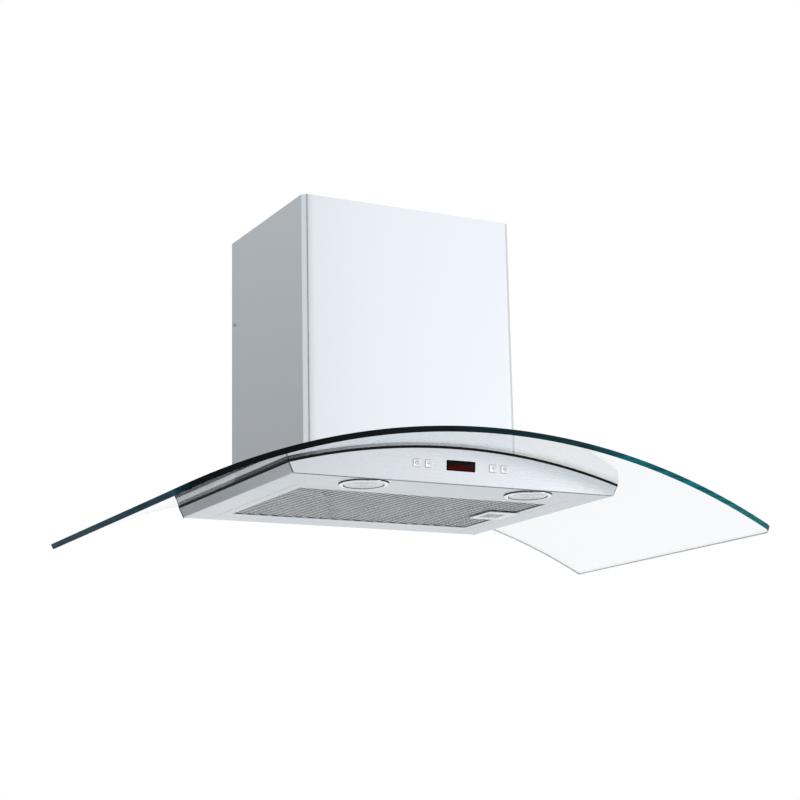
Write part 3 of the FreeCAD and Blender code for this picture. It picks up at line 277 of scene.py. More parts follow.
# A colour in words is one of HoodColours.
FINISHES = {
    # brushed along the hood's width
    "brushed_steel": dict(
        colour="steel", metallic=1.0, roughness=0.27, grain=(14, 1500, 1500), tone=0.022,
        rough_spread=0.04, bump=0.08),
    # brushed along its height
    "chimney_steel": dict(
        colour="steel", metallic=1.0, roughness=0.25, grain=(1500, 1500, 10), tone=0.006,
        rough_spread=0.012, bump=0.015),
    "galvanised_steel": dict(
        colour="galvanised", metallic=1.0, roughness=0.42, grain=even(90), tone=0.12,
        rough_spread=0.10, bump=0.05, smudge=25.0),
    "bright_chrome": dict(
        colour="chrome", metallic=1.0, roughness=0.07, grain=even(500), tone=0.02,
        rough_spread=0.03, bump=0.02),
    "satin_nickel": dict(
        colour=(0.88, 0.89, 0.90), metallic=0.35, roughness=0.25, grain=even(600), tone=0.02,
        rough_spread=0.05, bump=0.04),
    "zinc_plate": dict(
        colour=(0.52, 0.52, 0.50), metallic=1.0, roughness=0.35, grain=even(400), tone=0.10,
        rough_spread=0.08, bump=0.1),
    "black_rubber": dict(
        colour="rubber", metallic=0.0, roughness=0.6, grain=even(700), tone=0.25,
        rough_spread=0.10, bump=0.3, shine=0.15),
    "satin_aluminium": dict(
        colour=(0.60, 0.62, 0.65), metallic=1.0, roughness=0.36, grain=(260, 900, 900),
        tone=0.08, rough_spread=0.08, bump=0.15),
    "net_aluminium": dict(
        colour=(0.86, 0.89, 0.92), metallic=1.0, roughness=0.30, grain=(260, 900, 900),
        tone=0.10, rough_spread=0.08, bump=0.1),
    # pressed layers, coloured nearly black as a painted shade behind the net
    "shaded_filter_core": dict(
        colour=(0.022, 0.030, 0.038), metallic=0.0, roughness=0.65, grain=(220, 420, 420),
        tone=0.35, rough_spread=0.10, bump=0.4, shine=0.2),
    "grey_moulding": dict(
        colour=(0.30, 0.31, 0.33), metallic=0.0, roughness=0.5, grain=even(900), tone=0.06,
        rough_spread=0.06, bump=0.15),
    "black_moulding": dict(
        colour=(0.028, 0.028, 0.03), metallic=0.0, roughness=0.45, grain=even(900), tone=0.15,
        rough_spread=0.08, bump=0.15),
    "motor_enamel": dict(
        colour=(0.07, 0.07, 0.075), metallic=0.0, roughness=0.32, grain=even(250), tone=0.1,
        rough_spread=0.08, bump=0.12, coat=0.3),
    "board_lacquer": dict(
        colour=(0.02, 0.16, 0.06), metallic=0.0, roughness=0.35, grain=even(600), tone=0.15,
        rough_spread=0.08, bump=0.1, coat=0.3),
    "led_lacquer": dict(
        colour=(0.80, 0.79, 0.72), metallic=0.0, roughness=0.4, grain=even(500), tone=0.04,
        rough_spread=0.06, bump=0.05),
    "window_gloss": dict(
        colour=(0.002, 0.002, 0.002), metallic=0.0, roughness=0.12, grain=even(200), tone=0.3,
        rough_spread=0.04, bump=0.02, shine=0.06),
    "window_red": dict(
        colour="display_glow", metallic=0.0, roughness=0.15, grain=even(200), tone=0.15,
        rough_spread=0.04, bump=0.02, shine=0.04),
    "button_steel": dict(
        colour=(0.70, 0.71, 0.73), metallic=1.0, roughness=0.24, grain=(60, 1800, 1800),
        tone=0.03, rough_spread=0.05, bump=0.1),
    "symbol_paint": dict(
        colour=(0.22, 0.23, 0.25), metallic=0.0, roughness=0.5, grain=even(900), tone=0.1,
        rough_spread=0.08, bump=0.1),
    # at the sides and the back, paler than the polished front, whose dark is a painted reflection
    "ground_glass_edge": dict(
        colour=(0.62, 0.70, 0.71), metallic=0.0, roughness=0.4, grain=even(300), tone=0.08,
        rough_spread=0.1, bump=0.1),
    "polished_glass_edge": dict(
        colour="glass_edge", metallic=0.0, roughness=0.12, grain=even(40), tone=0.3,
        rough_spread=0.05, bump=0.02, shine=0.07),
    "milky_lamp_glass": dict(
        colour=(0.88, 0.90, 0.92), metallic=0.0, roughness=0.22, grain=even(350), tone=0.03,
        rough_spread=0.08, bump=0.08, coat=0.5),
    "studio_floor_paint": dict(
        colour="floor", metallic=0.0, roughness=0.6, grain=even(30), tone=0.01,
        rough_spread=0.05, bump=0.02),
}


def plain(name):
    """The plain surface of that name, its colour from the panel where it has one there."""
    settings = dict(FINISHES[name])
    colour = settings.pop("colour")
    if isinstance(colour, str):
        colour = getattr(bpy.context.scene.hood_colours, colour)
    return finish(name, colour, **settings)


def canopy_glass():
    """Glass that bends light, lets the lamps through and takes up its tint with depth."""
    made = bpy.data.materials.get("canopy_glass")
    if made:
        return made
    made = bpy.data.materials.new("canopy_glass")
    made.use_nodes = True
    tree = made.node_tree
    shader = tree.nodes["Principled BSDF"]
    shader.inputs["Base Color"].default_value = (1.0, 1.0, 1.0, 1.0)
    shader.inputs["Transmission Weight"].default_value = 1.0
    shader.inputs["IOR"].default_value = GLASS_IOR
    smears = noise(tree, even(9), detail=4.0)
    tree.links.new(spread(tree, smears, 0.0, GLASS_SMEAR), shader.inputs["Roughness"])
    through = node(tree, "ShaderNodeBsdfTransparent", [("Color", GLASS_SHADOW)])
    path = node(tree, "ShaderNodeLightPath")
    both = mix_shader(tree, path.outputs["Is Shadow Ray"], shader.outputs["BSDF"],
                      through.outputs["BSDF"])
    output = tree.nodes["Material Output"]
    tree.links.new(both, output.inputs["Surface"])
    tint = (*bpy.context.scene.hood_colours.glass, 1.0)
    depth = node(tree, "ShaderNodeVolumeAbsorption", [("Color", tint), ("Density", GLASS_DENSITY)])
    tree.links.new(depth.outputs["Volume"], output.inputs["Volume"])
    return made


def glass_edge():
    """Polished edge of the glass: a painted dark reflection makes it nearly black at one end of
    the bend, sea green at the other, with painted glints along it.
    """
    made = plain("polished_glass_edge")
    tree = made.node_tree
    shader = tree.nodes["Principled BSDF"]
    if "edge_depth" in tree.nodes:
        return made
    place = node(tree, "ShaderNodeTexCoord")
    apart = node(tree, "ShaderNodeSeparateXYZ")
    tree.links.new(place.outputs["Object"], apart.inputs["Vector"])
    # painted reflection: the edge colour runs from nearly black to sea green along x
    depth = node(tree, "ShaderNodeValToRGB")
    depth.name = "edge_depth"
    sea = tuple(bpy.context.scene.hood_colours.glass_edge)
    ramp = depth.color_ramp
    ramp.elements[0].position, ramp.elements[0].color = 0.0, (0.004, 0.045, 0.075, 1)
    ramp.elements[1].position, ramp.elements[1].color = 1.0, (*sea, 1)
    for position, share in EDGE_SHARES:
        stop = ramp.elements.new(position)
        stop.color = (sea[0] * share, sea[1] * share, sea[2] * share * EDGE_BLUE, 1)
    along = node(tree, "ShaderNodeMapRange",
                 [("From Min", -GLASS_HALF_WIDTH * MM), ("From Max", GLASS_HALF_WIDTH * MM)])
    tree.links.new(apart.outputs["X"], along.inputs["Value"])
    tree.links.new(along.outputs["Result"], depth.inputs["Fac"])
    # painted glints: stretched noise lightens and darkens the edge colour along it
    glints = node(tree, "ShaderNodeMix", [("Factor", 1.0)], data_type="RGBA",
                  blend_type="MULTIPLY")
    painted_glint_streaks = noise(tree, (25, 25, 500))
    shade = node(tree, "ShaderNodeMapRange",
                 [("From Min", 0.35), ("From Max", 0.65), ("To Min", 0.45), ("To Max", 1.4)])
    tree.links.new(painted_glint_streaks, shade.inputs["Value"])
    tree.links.new(depth.outputs["Color"], glints.inputs["A"])
    tree.links.new(shade.outputs["Result"], glints.inputs["B"])
    tree.links.new(glints.outputs["Result"], shader.inputs["Base Color"])
    return made


def lamp_glass():
    """Milky lamp glass, glossy outside."""
    made = plain("milky_lamp_glass")
    shader = made.node_tree.nodes["Principled BSDF"]
    shader.inputs["Transmission Weight"].default_value = LENS_CLEAR
    return made


SLOT_FINISH = {
    "rubber": "black_rubber", "stainless": "brushed_steel", "galvanised": "galvanised_steel",
    "fastener": "zinc_plate", "chrome": "bright_chrome", "led_board": "led_lacquer",
    "filter_metal": "satin_aluminium", "grey_plastic": "grey_moulding",
    "motor_paint": "motor_enamel", "black_plastic": "black_moulding",
    "display_black": "window_gloss", "board": "board_lacquer", "button_metal": "button_steel",
}

NODE_FINISH = {
    "filter_core": "shaded_filter_core", "filter_frame": "brushed_steel",
    "latch_plate": "satin_nickel", "latch_slide": "satin_nickel",
}


# Meshes

SAME_PLACE = 1e-3  # millimetres
BEVEL_FROM = 40.0  # degrees


def drawn(point):
    """A drawn point in millimetres as a place in the frame."""
    return Vector((point[0] * MM, point[1] * MM, (point[2] - FIXING_HEIGHT) * MM))


def on_front(x, near, z, base_x):
    """A place in the leaning front's own frame: x along it, near behind its face, z up it."""
    lean = math.radians(FRONT_LEAN)
    y = near * math.cos(lean) - z * math.sin(lean)
    up = near * math.sin(lean) + z * math.cos(lean)
    face = FRONT_Y - CONTROL_Z * math.tan(lean)
    return (base_x + x, face + y, CONTROL_Z + up)


def piece(name, points, faces, material, body, nodes, edge=0.0, sharp=35.0):
    """A mesh object from drawn points that rides a body and stands for its nodes."""
    mesh = bpy.data.meshes.new(name)
    mesh.from_pydata([drawn(p) for p in points], [], faces)
    work = bmesh.new()
    work.from_mesh(mesh)
    bmesh.ops.remove_doubles(work, verts=work.verts, dist=SAME_PLACE * MM)
    bmesh.ops.recalc_face_normals(work, faces=work.faces)
    work.to_mesh(mesh)
    work.free()
    return dress(name, mesh, material, body, nodes, edge, sharp)


def dress(name, mesh, material, body, nodes, edge, sharp):
    """Shades a finished mesh, rounds its edges and puts it on its body."""
    mesh.shade_smooth()
    mesh.set_sharp_from_angle(angle=math.radians(sharp))
    made = bpy.data.objects.new(name, mesh)
    bpy.context.scene.collection.objects.link(made)
    mesh.materials.append(material)
    if edge > 0:
        rounding = made.modifiers.new("rounded_edges", "BEVEL")
        rounding.width = edge
        rounding.segments = 2
        rounding.limit_method = "ANGLE"
        rounding.angle_limit = math.radians(BEVEL_FROM)
        rounding.harden_normals = True
    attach(made, body)
    if nodes:
        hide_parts(*nodes)
    return made


def loft(loops, closed=False):
    """Points and faces through loops of equal length, with caps unless it closes on itself."""
    count = len(loops[0])
    points = [p for ring in loops for p in ring]
    faces = []
    last = len(loops) if closed else len(loops) - 1
    for i in range(last):
        j = (i + 1) % len(loops)
        for k in range(count):
            m = (k + 1) % count
            faces.append((i * count + k, i * count + m, j * count + m, j * count + k))
    if not closed:
        faces.append(tuple(range(count)))
        faces.append(tuple(range((len(loops) - 1) * count, len(loops) * count)))
    return points, faces


def ring_points(radius, count, x, y, z):
    return [(x + radius * math.cos(2 * math.pi * k / count),
             y + radius * math.sin(2 * math.pi * k / count), z) for k in range(count)]


def lathe(profile, x, y, count=96):
    """A closed profile of (radius, z) turned about an upright axis."""
    return loft([ring_points(r, count, x, y, z) for r, z in profile], closed=True)


def round_rectangle(half_x, half_z, radius, steps=6):
    """Corners of a rectangle with round corners, as (x, z)."""
    points = []
    for cx, cz, start in ((half_x - radius, half_z - radius, 0.0),
                          (radius - half_x, half_z - radius, 90.0),
                          (radius - half_x, radius - half_z, 180.0),
                          (half_x - radius, radius - half_z, 270.0)):
        for k in range(steps + 1):
            a = math.radians(start + 90.0 * k / steps)
            points.append((cx + radius * math.cos(a), cz + radius * math.sin(a)))
    return points


def round_path(points, radii, steps=8, longest=8.0):
    """A path with round corners, its straight runs divided into short steps."""
    path = [Vector(points[0])]
    for i in range(1, len(points) - 1):
        before, corner, after = (Vector(points[j]) for j in (i - 1, i, i + 1))
        a, b = (before - corner).normalized(), (after - corner).normalized()
        half = math.acos(max(-1.0, min(1.0, a.dot(b)))) / 2
        reach = radii[i - 1] / math.tan(half)
        centre = corner + (a + b).normalized() * (radii[i - 1] / math.sin(half))
        start, end = corner + a * reach - centre, corner + b * reach - centre
        for k in range(steps + 1):
            path.append(centre + start.slerp(end, k / steps).normalized() * radii[i - 1])
    path.append(Vector(points[-1]))
    fine = [path[0]]
    for p, q in zip(path, path[1:]):
        count = max(1, math.ceil((q - p).length / longest))
        fine += [p.lerp(q, (k + 1) / count) for k in range(count)]
    return fine


def inside_path(path, thickness):
    """The path moved to its left by the sheet's thickness."""
    moved = []
    for i, p in enumerate(path):
        before = (p - path[i - 1]).normalized() if i else None
        after = (path[i + 1] - p).normalized() if i < len(path) - 1 else None
        a, b = before or after, after or before
        side = Vector((-(a.y + b.y), a.x + b.x)).normalized()
        lean = side.dot(Vector((-a.y, a.x)))
        moved.append(p + side * (thickness / max(lean, 0.2)))
    return moved


def stroke(points, width, closed=False):
    """Left and right edges of a line of even width in the plane."""
    count = len(points)
    left, right = [], []
    for i in range(count):
        before = Vector(points[i - 1] if i or closed else points[0])
        after = Vector(points[(i + 1) % count] if closed or i < count - 1 else points[-1])
        along = (after - before).normalized()
        side = Vector((-along.y, along.x)) * width / 2
        left.append(Vector(points[i]) + side)
        right.append(Vector(points[i]) - side)
    return left, right


def polar(radius, degrees):
    return (radius * math.cos(math.radians(degrees)), radius * math.sin(math.radians(degrees)))


def arc_points(radius, start, end, steps=20):
    return [polar(radius, start + (end - start) * k / steps) for k in range(steps + 1)]


def glass_point(along, y, radius):
    """A place on the bent glass: distance along the arc, depth and radius."""
    turn = along / (GLASS_UNDER + GLASS_TOP) * 2
    return (radius * math.sin(turn), y, ARC_CENTRE + radius * math.cos(turn))


def arc_height(x, radius):
    return ARC_CENTRE + math.sqrt(radius ** 2 - x ** 2)


# Pieces

class HOOD_OT_glass(bpy.types.Operator):
    """Bent glass canopy with round front corners, a notch for the fan box and bolt holes"""

    bl_idname = "hood.glass"
    bl_label = "Glass canopy"

    def execute(self, context):
        sizes = context.scene.hood_sizes
        middle = (GLASS_UNDER + GLASS_TOP) / 2
        reach = middle * math.asin(GLASS_HALF_WIDTH / middle)
        notch = middle * math.asin(NOTCH_HALF / middle)
        corner = GLASS_CORNER
        round_steps, hole_steps = 8, 16

        def front(s):
            over = max(0.0, abs(s) - (reach - corner))
            return GLASS_FRONT + corner - math.sqrt(max(0.0, corner ** 2 - over ** 2))

        def shelf(s):
            over = min(NOTCH_RADIUS, max(0.0, abs(s) - (notch - NOTCH_RADIUS)))
            return NOTCH_FRONT + NOTCH_RADIUS - math.sqrt(NOTCH_RADIUS ** 2 - over ** 2)

        def hole(s, side):
            over = BOLT_HOLE ** 2 - (abs(s) - BOLT_OFFSET) ** 2
            return BOLT_Y + side * math.sqrt(max(0.0, over))

        lines = {k / sizes.glass_strips * 2 * reach - reach for k in range(sizes.glass_strips + 1)}
        for side in (-1, 1):
            for k in range(round_steps + 1):
                a = math.pi / 2 * k / round_steps
                lines.add(side * (reach - corner + corner * math.sin(a)))
                lines.add(side * (notch - NOTCH_RADIUS + NOTCH_RADIUS * math.sin(a)))
            for k in range(hole_steps + 1):
                lines.add(side * (BOLT_OFFSET - BOLT_HOLE * math.cos(math.pi * k / hole_steps)))
        lines = sorted(lines)
        nearest = 1e-4
        lines = [s for i, s in enumerate(lines) if i == 0 or s - lines[i - 1] > nearest]
        cells = []
        for s, t in zip(lines, lines[1:]):
            bands = [(front, shelf)]
            if abs(s + t) / 2 > notch:
                bands.append((shelf, lambda u: hole(u, -1)))
                bands.append((lambda u: hole(u, 1), lambda u: GLASS_REAR))
            for low, high in bands:
                cells.append([(s, low(s)), (t, low(t)), (t, high(t)), (s, high(s))])
        flat = bmesh.new()
        for cell in cells:
            flat.faces.new([flat.verts.new((s, y, 0.0)) for s, y in cell])
        bmesh.ops.remove_doubles(flat, verts=flat.verts, dist=nearest)
        flat.verts.index_update()
        flat.faces.ensure_lookup_table()
        count = len(flat.verts)
        points = [glass_point(v.co.x, v.co.y, GLASS_UNDER) for v in flat.verts]
        points += [glass_point(v.co.x, v.co.y, GLASS_TOP) for v in flat.verts]
        faces = []
        for f in flat.faces:
            ids = [v.index for v in f.verts]
            faces.append(tuple(reversed(ids)))
            faces.append(tuple(i + count for i in ids))
        for e in flat.edges:
            if e.is_boundary:
                a, b = e.verts[0].index, e.verts[1].index
                faces.append((a, b, b + count, a + count))
        flat.free()
        made = piece("curved_glass", points, faces, canopy_glass(), "hood", ["glass_canopy"],
                     sizes.glass_arris, 50.0)
        self.polish_rim(context, made)
        return {"FINISHED"}

    def polish_rim(self, context, made):
        """Fixes the arris and gives the edges their own finish: polished with a painted dark
        reflection in front and on the left, ground elsewhere.
        """
        context.view_layer.update()
        unshaped = made.data
        shaped = bpy.data.meshes.new_from_object(
            made.evaluated_get(context.evaluated_depsgraph_get()))
        made.modifiers.clear()
        made.data = shaped
        bpy.data.meshes.remove(unshaped)
        shaped.name = "curved_glass"
        shaped.materials.append(glass_edge())
        shaped.materials.append(plain("ground_glass_edge"))
        polished, ground = 1, 2
        level = 0.9  # faces that are squarer than this to the arc are the top or the underside
        for face in shaped.polygons:
            across = Vector((face.center.x, 0, face.center.z + (FIXING_HEIGHT - ARC_CENTRE) * MM))
            if abs(face.normal.dot(across.normalized())) < level:
                in_front = face.center.y < (GLASS_FRONT + DARK_FRONT) * MM
                on_left = face.center.x < DARK_LEFT * MM
                face.material_index = polished if in_front or on_left else ground


class HOOD_OT_chimney(bpy.types.Operator):
    """Folded chimney cover whose lower edge follows the glass"""

    bl_idname = "hood.chimney"
    bl_label = "Chimney cover"

    def execute(self, context):
        sizes = context.scene.hood_sizes
        inner = CHIMNEY_HALF - CHIMNEY_FLANGE
        corners = [(-inner, CHIMNEY_REAR), (-CHIMNEY_HALF, CHIMNEY_REAR),
                   (-CHIMNEY_HALF, CHIMNEY_FRONT), (CHIMNEY_HALF, CHIMNEY_FRONT),
                   (CHIMNEY_HALF, CHIMNEY_REAR), (inner, CHIMNEY_REAR)]
        fold = sizes.chimney_corner / MM
        outer = round_path(corners, [REAR_FOLD, fold, fold, REAR_FOLD])
        inside = inside_path(outer, SHEET)
        below = GLASS_TOP + CHIMNEY_GAP
        loops = []
        for p, q in zip(outer, inside):
            loops.append([(p.x, p.y, arc_height(p.x, below)), (p.x, p.y, CHIMNEY_TOP),
                          (q.x, q.y, CHIMNEY_TOP), (q.x, q.y, arc_height(q.x, below))])
        points, faces = loft(loops)
        piece("chimney_sleeve", points, faces, plain("chimney_steel"), "hood", ["chimney_cover"],
              sizes.sheet_edge)
        return {"FINISHED"}


class HOOD_OT_filter(bpy.types.Operator):
    """Expanded sheet of the grease filter, with room for the latch's pocket"""

    bl_idname = "hood.filter_net"
    bl_label = "Filter net"

    def execute(self, context):
        sizes = context.scene.hood_sizes
        long_way, short_way = sizes.net_length / MM / 2, sizes.net_width / MM / 2
        strand = sizes.net_strand / MM
        tip, waist = 0.25, 0.7  # how far the strands tip, and their thickness at the crossings
        # the hole's corners, moved in by half a strand
        slope = math.hypot(long_way, short_way)
        hole_x = long_way - strand / 2 * slope / short_way
        hole_y = short_way - strand / 2 * slope / long_way
        blunt = 0.22
        tile = [(1, 0), (blunt, 1 - blunt), (0, 1), (-blunt, 1 - blunt), (-1, 0),
                (-blunt, blunt - 1), (0, -1), (blunt, blunt - 1)]
        middle_y = (NET_FRONT + NET_REAR) / 2
        work = bmesh.new()
        columns = int(NET_HALF / long_way) + 2
        rows = int((NET_REAR - NET_FRONT) / 2 / short_way) + 2
        middle_z = (NET_LOW + NET_HIGH) / 2
        half = (NET_HIGH - NET_LOW) / 2
        for i in range(-columns, columns + 1):
            for j in range(-rows, rows + 1):
                if (i + j) % 2:
                    continue
                cx, cy = i * long_way, middle_y + j * short_way
                rings = []
                for level in (-half, half):
                    z = middle_z + level * waist
                    outer = [(cx + long_way * u, cy + short_way * v, z) for u, v in tile]
                    inner = []
                    for u, v in tile:
                        if u == 0:
                            v = math.copysign(1 - blunt, v)
                        inner.append((cx + hole_x * u, cy + hole_y * v, z + tip * v * half))
                    rings.append(([work.verts.new(p) for p in outer],
                                  [work.verts.new(p) for p in inner]))
                (low_out, low_in), (top_out, top_in) = rings
                for k in range(len(tile)):
                    m = (k + 1) % len(tile)
                    work.faces.new((low_out[m], low_out[k], low_in[k], low_in[m]))
                    work.faces.new((top_out[k], top_out[m], top_in[m], top_in[k]))
                    work.faces.new((low_in[m], low_in[k], top_in[k], top_in[m]))
        bmesh.ops.remove_doubles(work, verts=work.verts, dist=SAME_PLACE)
        source = bpy.data.meshes.new("net_work")
        work.to_mesh(source)
        work.free()
        joined = bmesh.new()
        parts = [(-NET_HALF, POCKET_LEFT, NET_FRONT, NET_REAR),
                 (POCKET_LEFT, NET_HALF, NET_FRONT, POCKET_NEAR),
                 (POCKET_LEFT, NET_HALF, POCKET_FAR, NET_REAR)]
        for x0, x1, y0, y1 in parts:
            cut = bmesh.new()
            cut.from_mesh(source)
            for place, away in (((x0, 0, 0), (-1, 0, 0)), ((x1, 0, 0), (1, 0, 0)),
                                ((0, y0, 0), (0, -1, 0)), ((0, y1, 0), (0, 1, 0))):
                bmesh.ops.bisect_plane(cut, geom=cut.verts[:] + cut.edges[:] + cut.faces[:],
                                       plane_co=place, plane_no=away, clear_outer=True)
            held = bpy.data.meshes.new("net_part")
            cut.to_mesh(held)
            cut.free()
            joined.from_mesh(held)
            bpy.data.meshes.remove(held)
        bpy.data.meshes.remove(source)
        bmesh.ops.remove_doubles(joined, verts=joined.verts, dist=SAME_PLACE)
        bmesh.ops.recalc_face_normals(joined, faces=joined.faces)
        for v in joined.verts:
            v.co = drawn(v.co)
        mesh = bpy.data.meshes.new("expanded_net")
        joined.to_mesh(mesh)
        joined.free()
        dress("expanded_net", mesh, plain("net_aluminium"), "filter", ["filter_mesh_lower"],
              0.0, 25.0)
        return {"FINISHED"}


class HOOD_OT_trims(bpy.types.Operator):
    """Rubber lip under the glass and the sealed seams at the body's front corners"""

    bl_idname = "hood.trims"
    bl_label = "Rubber lip and seams"

    def execute(self, context):
        lean, flare = math.tan(math.radians(FRONT_LEAN)), math.tan(math.radians(SIDE_LEAN))

        def side_x(z):
            return BODY_HALF + z * flare

        def front_y(z):
            return FRONT_Y - z * lean

        corner_z = 0.0
        for _ in range(20):  # settles on the place where the leaning side meets the arc
            corner_z = arc_height(side_x(corner_z), GASKET_UNDER)
        corner_x = side_x(corner_z)
        corner_top, corner_low = corner_z + LIP_TUCK, corner_z - LIP_DROP
        loops = []
        for side in (-1, 1):
            run = []
            for y in (BODY_REAR, *LIP_PLACES, front_y(corner_z) + 2.0):
                run.append([(side * (corner_x - LIP_DEPTH), y, corner_top),
                            (side * (corner_x + LIP_PROUD), y, corner_top),
                            (side * (side_x(corner_low) + LIP_PROUD), y, corner_low),
                            (side * (side_x(corner_low) - LIP_DEPTH), y, corner_low)])
            if side > 0:
                loops += reversed(run)
                continue
            loops += run
            steps = 60
            for k in range(steps + 1):
                x = -corner_x + 2 * corner_x * k / steps
                top = arc_height(x, GASKET_UNDER)
                low = top - LIP_DROP
                loops.append([(x, front_y(top) + LIP_DEPTH, top + LIP_TUCK),
                              (x, front_y(top) - LIP_PROUD, top + LIP_TUCK),
                              (x, front_y(low) - LIP_PROUD, low),
                              (x, front_y(low) + LIP_DEPTH, low)])
        points, faces = loft(loops)
        piece("gasket_lip", points, faces, plain("black_rubber"), "hood", ())
        for side, where in SIDES:
            rings = []
            for z in (SEAM_FOOT, corner_low):
                x, y = side_x(z), front_y(z)
                rings.append([(side * (x - SEAM_WIDE), y - SEAM_PROUD, z),
                              (side * (x + SEAM_PROUD), y - SEAM_PROUD, z),
                              (side * (x + SEAM_PROUD), y + SEAM_DEEP, z),
                              (side * (x - SEAM_BACK), y + SEAM_BACK, z)])
            points, faces = loft(rings)
            piece("corner_seam_" + where, points, faces, plain("black_rubber"), "hood", ())
        return {"FINISHED"}


class HOOD_OT_lamps(bpy.types.Operator):
    """Turned lamp rings and frosted lenses"""

    bl_idname = "hood.lamps"
    bl_label = "Lamps"

    def execute(self, context):
        # profiles as (radius, z), all closed
        ring = [(29.0, -0.9), (33.0, -0.9), (33.9, -1.0)]
        ring += [(32.6 + 1.3 * math.cos(math.radians(a)), -1.5 + 1.0 * math.sin(math.radians(a)))
                 for a in range(0, -91, -15)]
        ring += [(30.9, -2.85), (29.4, -3.0), (28.8, -2.95), (28.4, -2.7), (28.3, -2.4),
                 (28.3, -1.8), (29.0, -1.8)]
        # a rubber seal under the ring, also a painted dark reflection: it stands proud to darken
        # the ring's outer flank
        seal_and_painted_reflection = [(29.0, 0.0), (34.4, 0.0), (34.5, -0.3), (34.4, -1.0), (33.9, -1.2), (29.0, -0.9)]
        lip = [(27.0, -1.75), (28.3, -1.75), (28.3, -2.75), (27.8, -2.75), (27.0, -2.0)]
        lens = [(28.9, -0.1), (28.9, -1.7), (27.3, -1.75)]
        for k in range(10):  # rings pressed into the lens, every second one deeper
            r = 26.6 - 2.5 * k
            lens += [(r, -2.15 - 0.05 * (k % 2)), (r - 1.25, -1.8)]
        lens += [(0.6, -1.9), (0.6, -0.1)]
        for side, where in SIDES:
            for name, profile, material, nodes, slot in (
                    ("lamp_ring_" + where, ring, plain("bright_chrome"), ["lamp_bezel_" + where],
                     "chrome"),
                    ("lamp_seal_" + where, seal_and_painted_reflection, plain("black_rubber"), (), "rubber"),
                    ("lens_seal_" + where, lip, plain("black_rubber"), (), "rubber"),
                    ("lamp_lens_" + where + "_pane", lens, lamp_glass(), ["lamp_lens_" + where],
                     "lens")):
                points, faces = lathe(profile, side * LAMP_X, LAMP_Y)
                piece(name, points, faces, material, "hood", nodes)
        return {"FINISHED"}


class HOOD_OT_controls(bpy.types.Operator):
    """Four push buttons with plain symbols and the display window between them"""

    bl_idname = "hood.controls"
    bl_label = "Buttons and display"

    def execute(self, context):
        for name, base in BUTTON_X.items():
            self.button(name, base)
        self.window()
        return {"FINISHED"}

    def button(self, name, base):
        rings = [[on_front(u, near, v, base) for u, v in round_rectangle(half, half, radius)]
                 for near, half, radius in CAP_SECTIONS]
        points, faces = loft(rings)
        piece(name + "_cap", points, faces, plain("button_steel"), BUTTON_BODY[name], [name],
              0.0, 30.0)
        arm, ray_from, ray_to = 2.2, 2.1, 3.0
        bar = ([(-arm, 0), (arm, 0)], False)
        strokes = {
            "button_power": [(arc_points(2.1, 125, 415), False), ([(0, 0.7), (0, 3.0)], False)],
            "button_minus": [bar],
            "button_plus": [bar, ([(0, -arm), (0, arm)], False)],
            "button_light": [(arc_points(1.5, 0, 345), True)] + [
                ([polar(ray_from, a), polar(ray_to, a)], False) for a in range(0, 360, 60)],
        }
        points, faces = [], []
        for line, closed in strokes[name]:
            left, right = stroke(line, SYMBOL_WIDTH, closed)
            start = len(points)
            for p, q in zip(left, right):
                points += [on_front(at.x, near, at.y, base) for at, near in (
                    (p, SYMBOL_BACK), (q, SYMBOL_BACK), (q, SYMBOL_FACE), (p, SYMBOL_FACE))]
            count = len(line)
            for i in range(count if closed else count - 1):
                j = (i + 1) % count
                for k in range(4):
                    m = (k + 1) % 4
                    faces.append((start + 4 * i + k, start + 4 * i + m, start + 4 * j + m,
                                  start + 4 * j + k))
            if not closed:
                faces.append(tuple(start + k for k in range(4)))
                faces.append(tuple(start + 4 * (count - 1) + k for k in range(4)))
        piece(name.replace("button_", "symbol_"), points, faces, plain("symbol_paint"),
              BUTTON_BODY[name], ())

    def window(self):
        rings = [[on_front(u, near, v, 0.0) for u, v in round_rectangle(half_x, half_z, radius)]
                 for near, half_x, half_z, radius in PANE_SECTIONS]
        points, faces = loft(rings)
        piece("display_pane", points, faces, plain("window_gloss"), "hood", ["display_window"],
              0.0, 40.0)
        outline = [(-20.5, -5.6), (20.5, -5.6), (20.5, -0.6), (9.0, -0.6), (9.0, 1.4),
                   (-9.0, 1.4), (-9.0, -0.6), (-20.5, -0.6)]
        rings = [[on_front(u, near, v, 0.0) for u, v in outline] for near in (-0.1, -0.23)]
        points, faces = loft(rings)
        piece("display_red_filter", points, faces, plain("window_red"), "hood", ())


class HOOD_OT_finishes(bpy.types.Operator):
    """Finishes for the solids that are shown as they are"""

    bl_idname = "hood.finishes"
    bl_label = "Finishes of the solids"

    def execute(self, context):
        slots = {part["node"]: part["material_slot"] for part in frame["record"]["subparts"]}
        for name, solid in frame["nodes"].items():
            if solid.hide_render:
                continue
            made = {"glass": canopy_glass, "lens": lamp_glass}.get(slots[name])
            material = made() if made else plain(NODE_FINISH.get(name, SLOT_FINISH[slots[name]]))
            for place in solid.material_slots:
                place.material = material
            if not solid.material_slots:
                solid.data.materials.append(material)
        return {"FINISHED"}


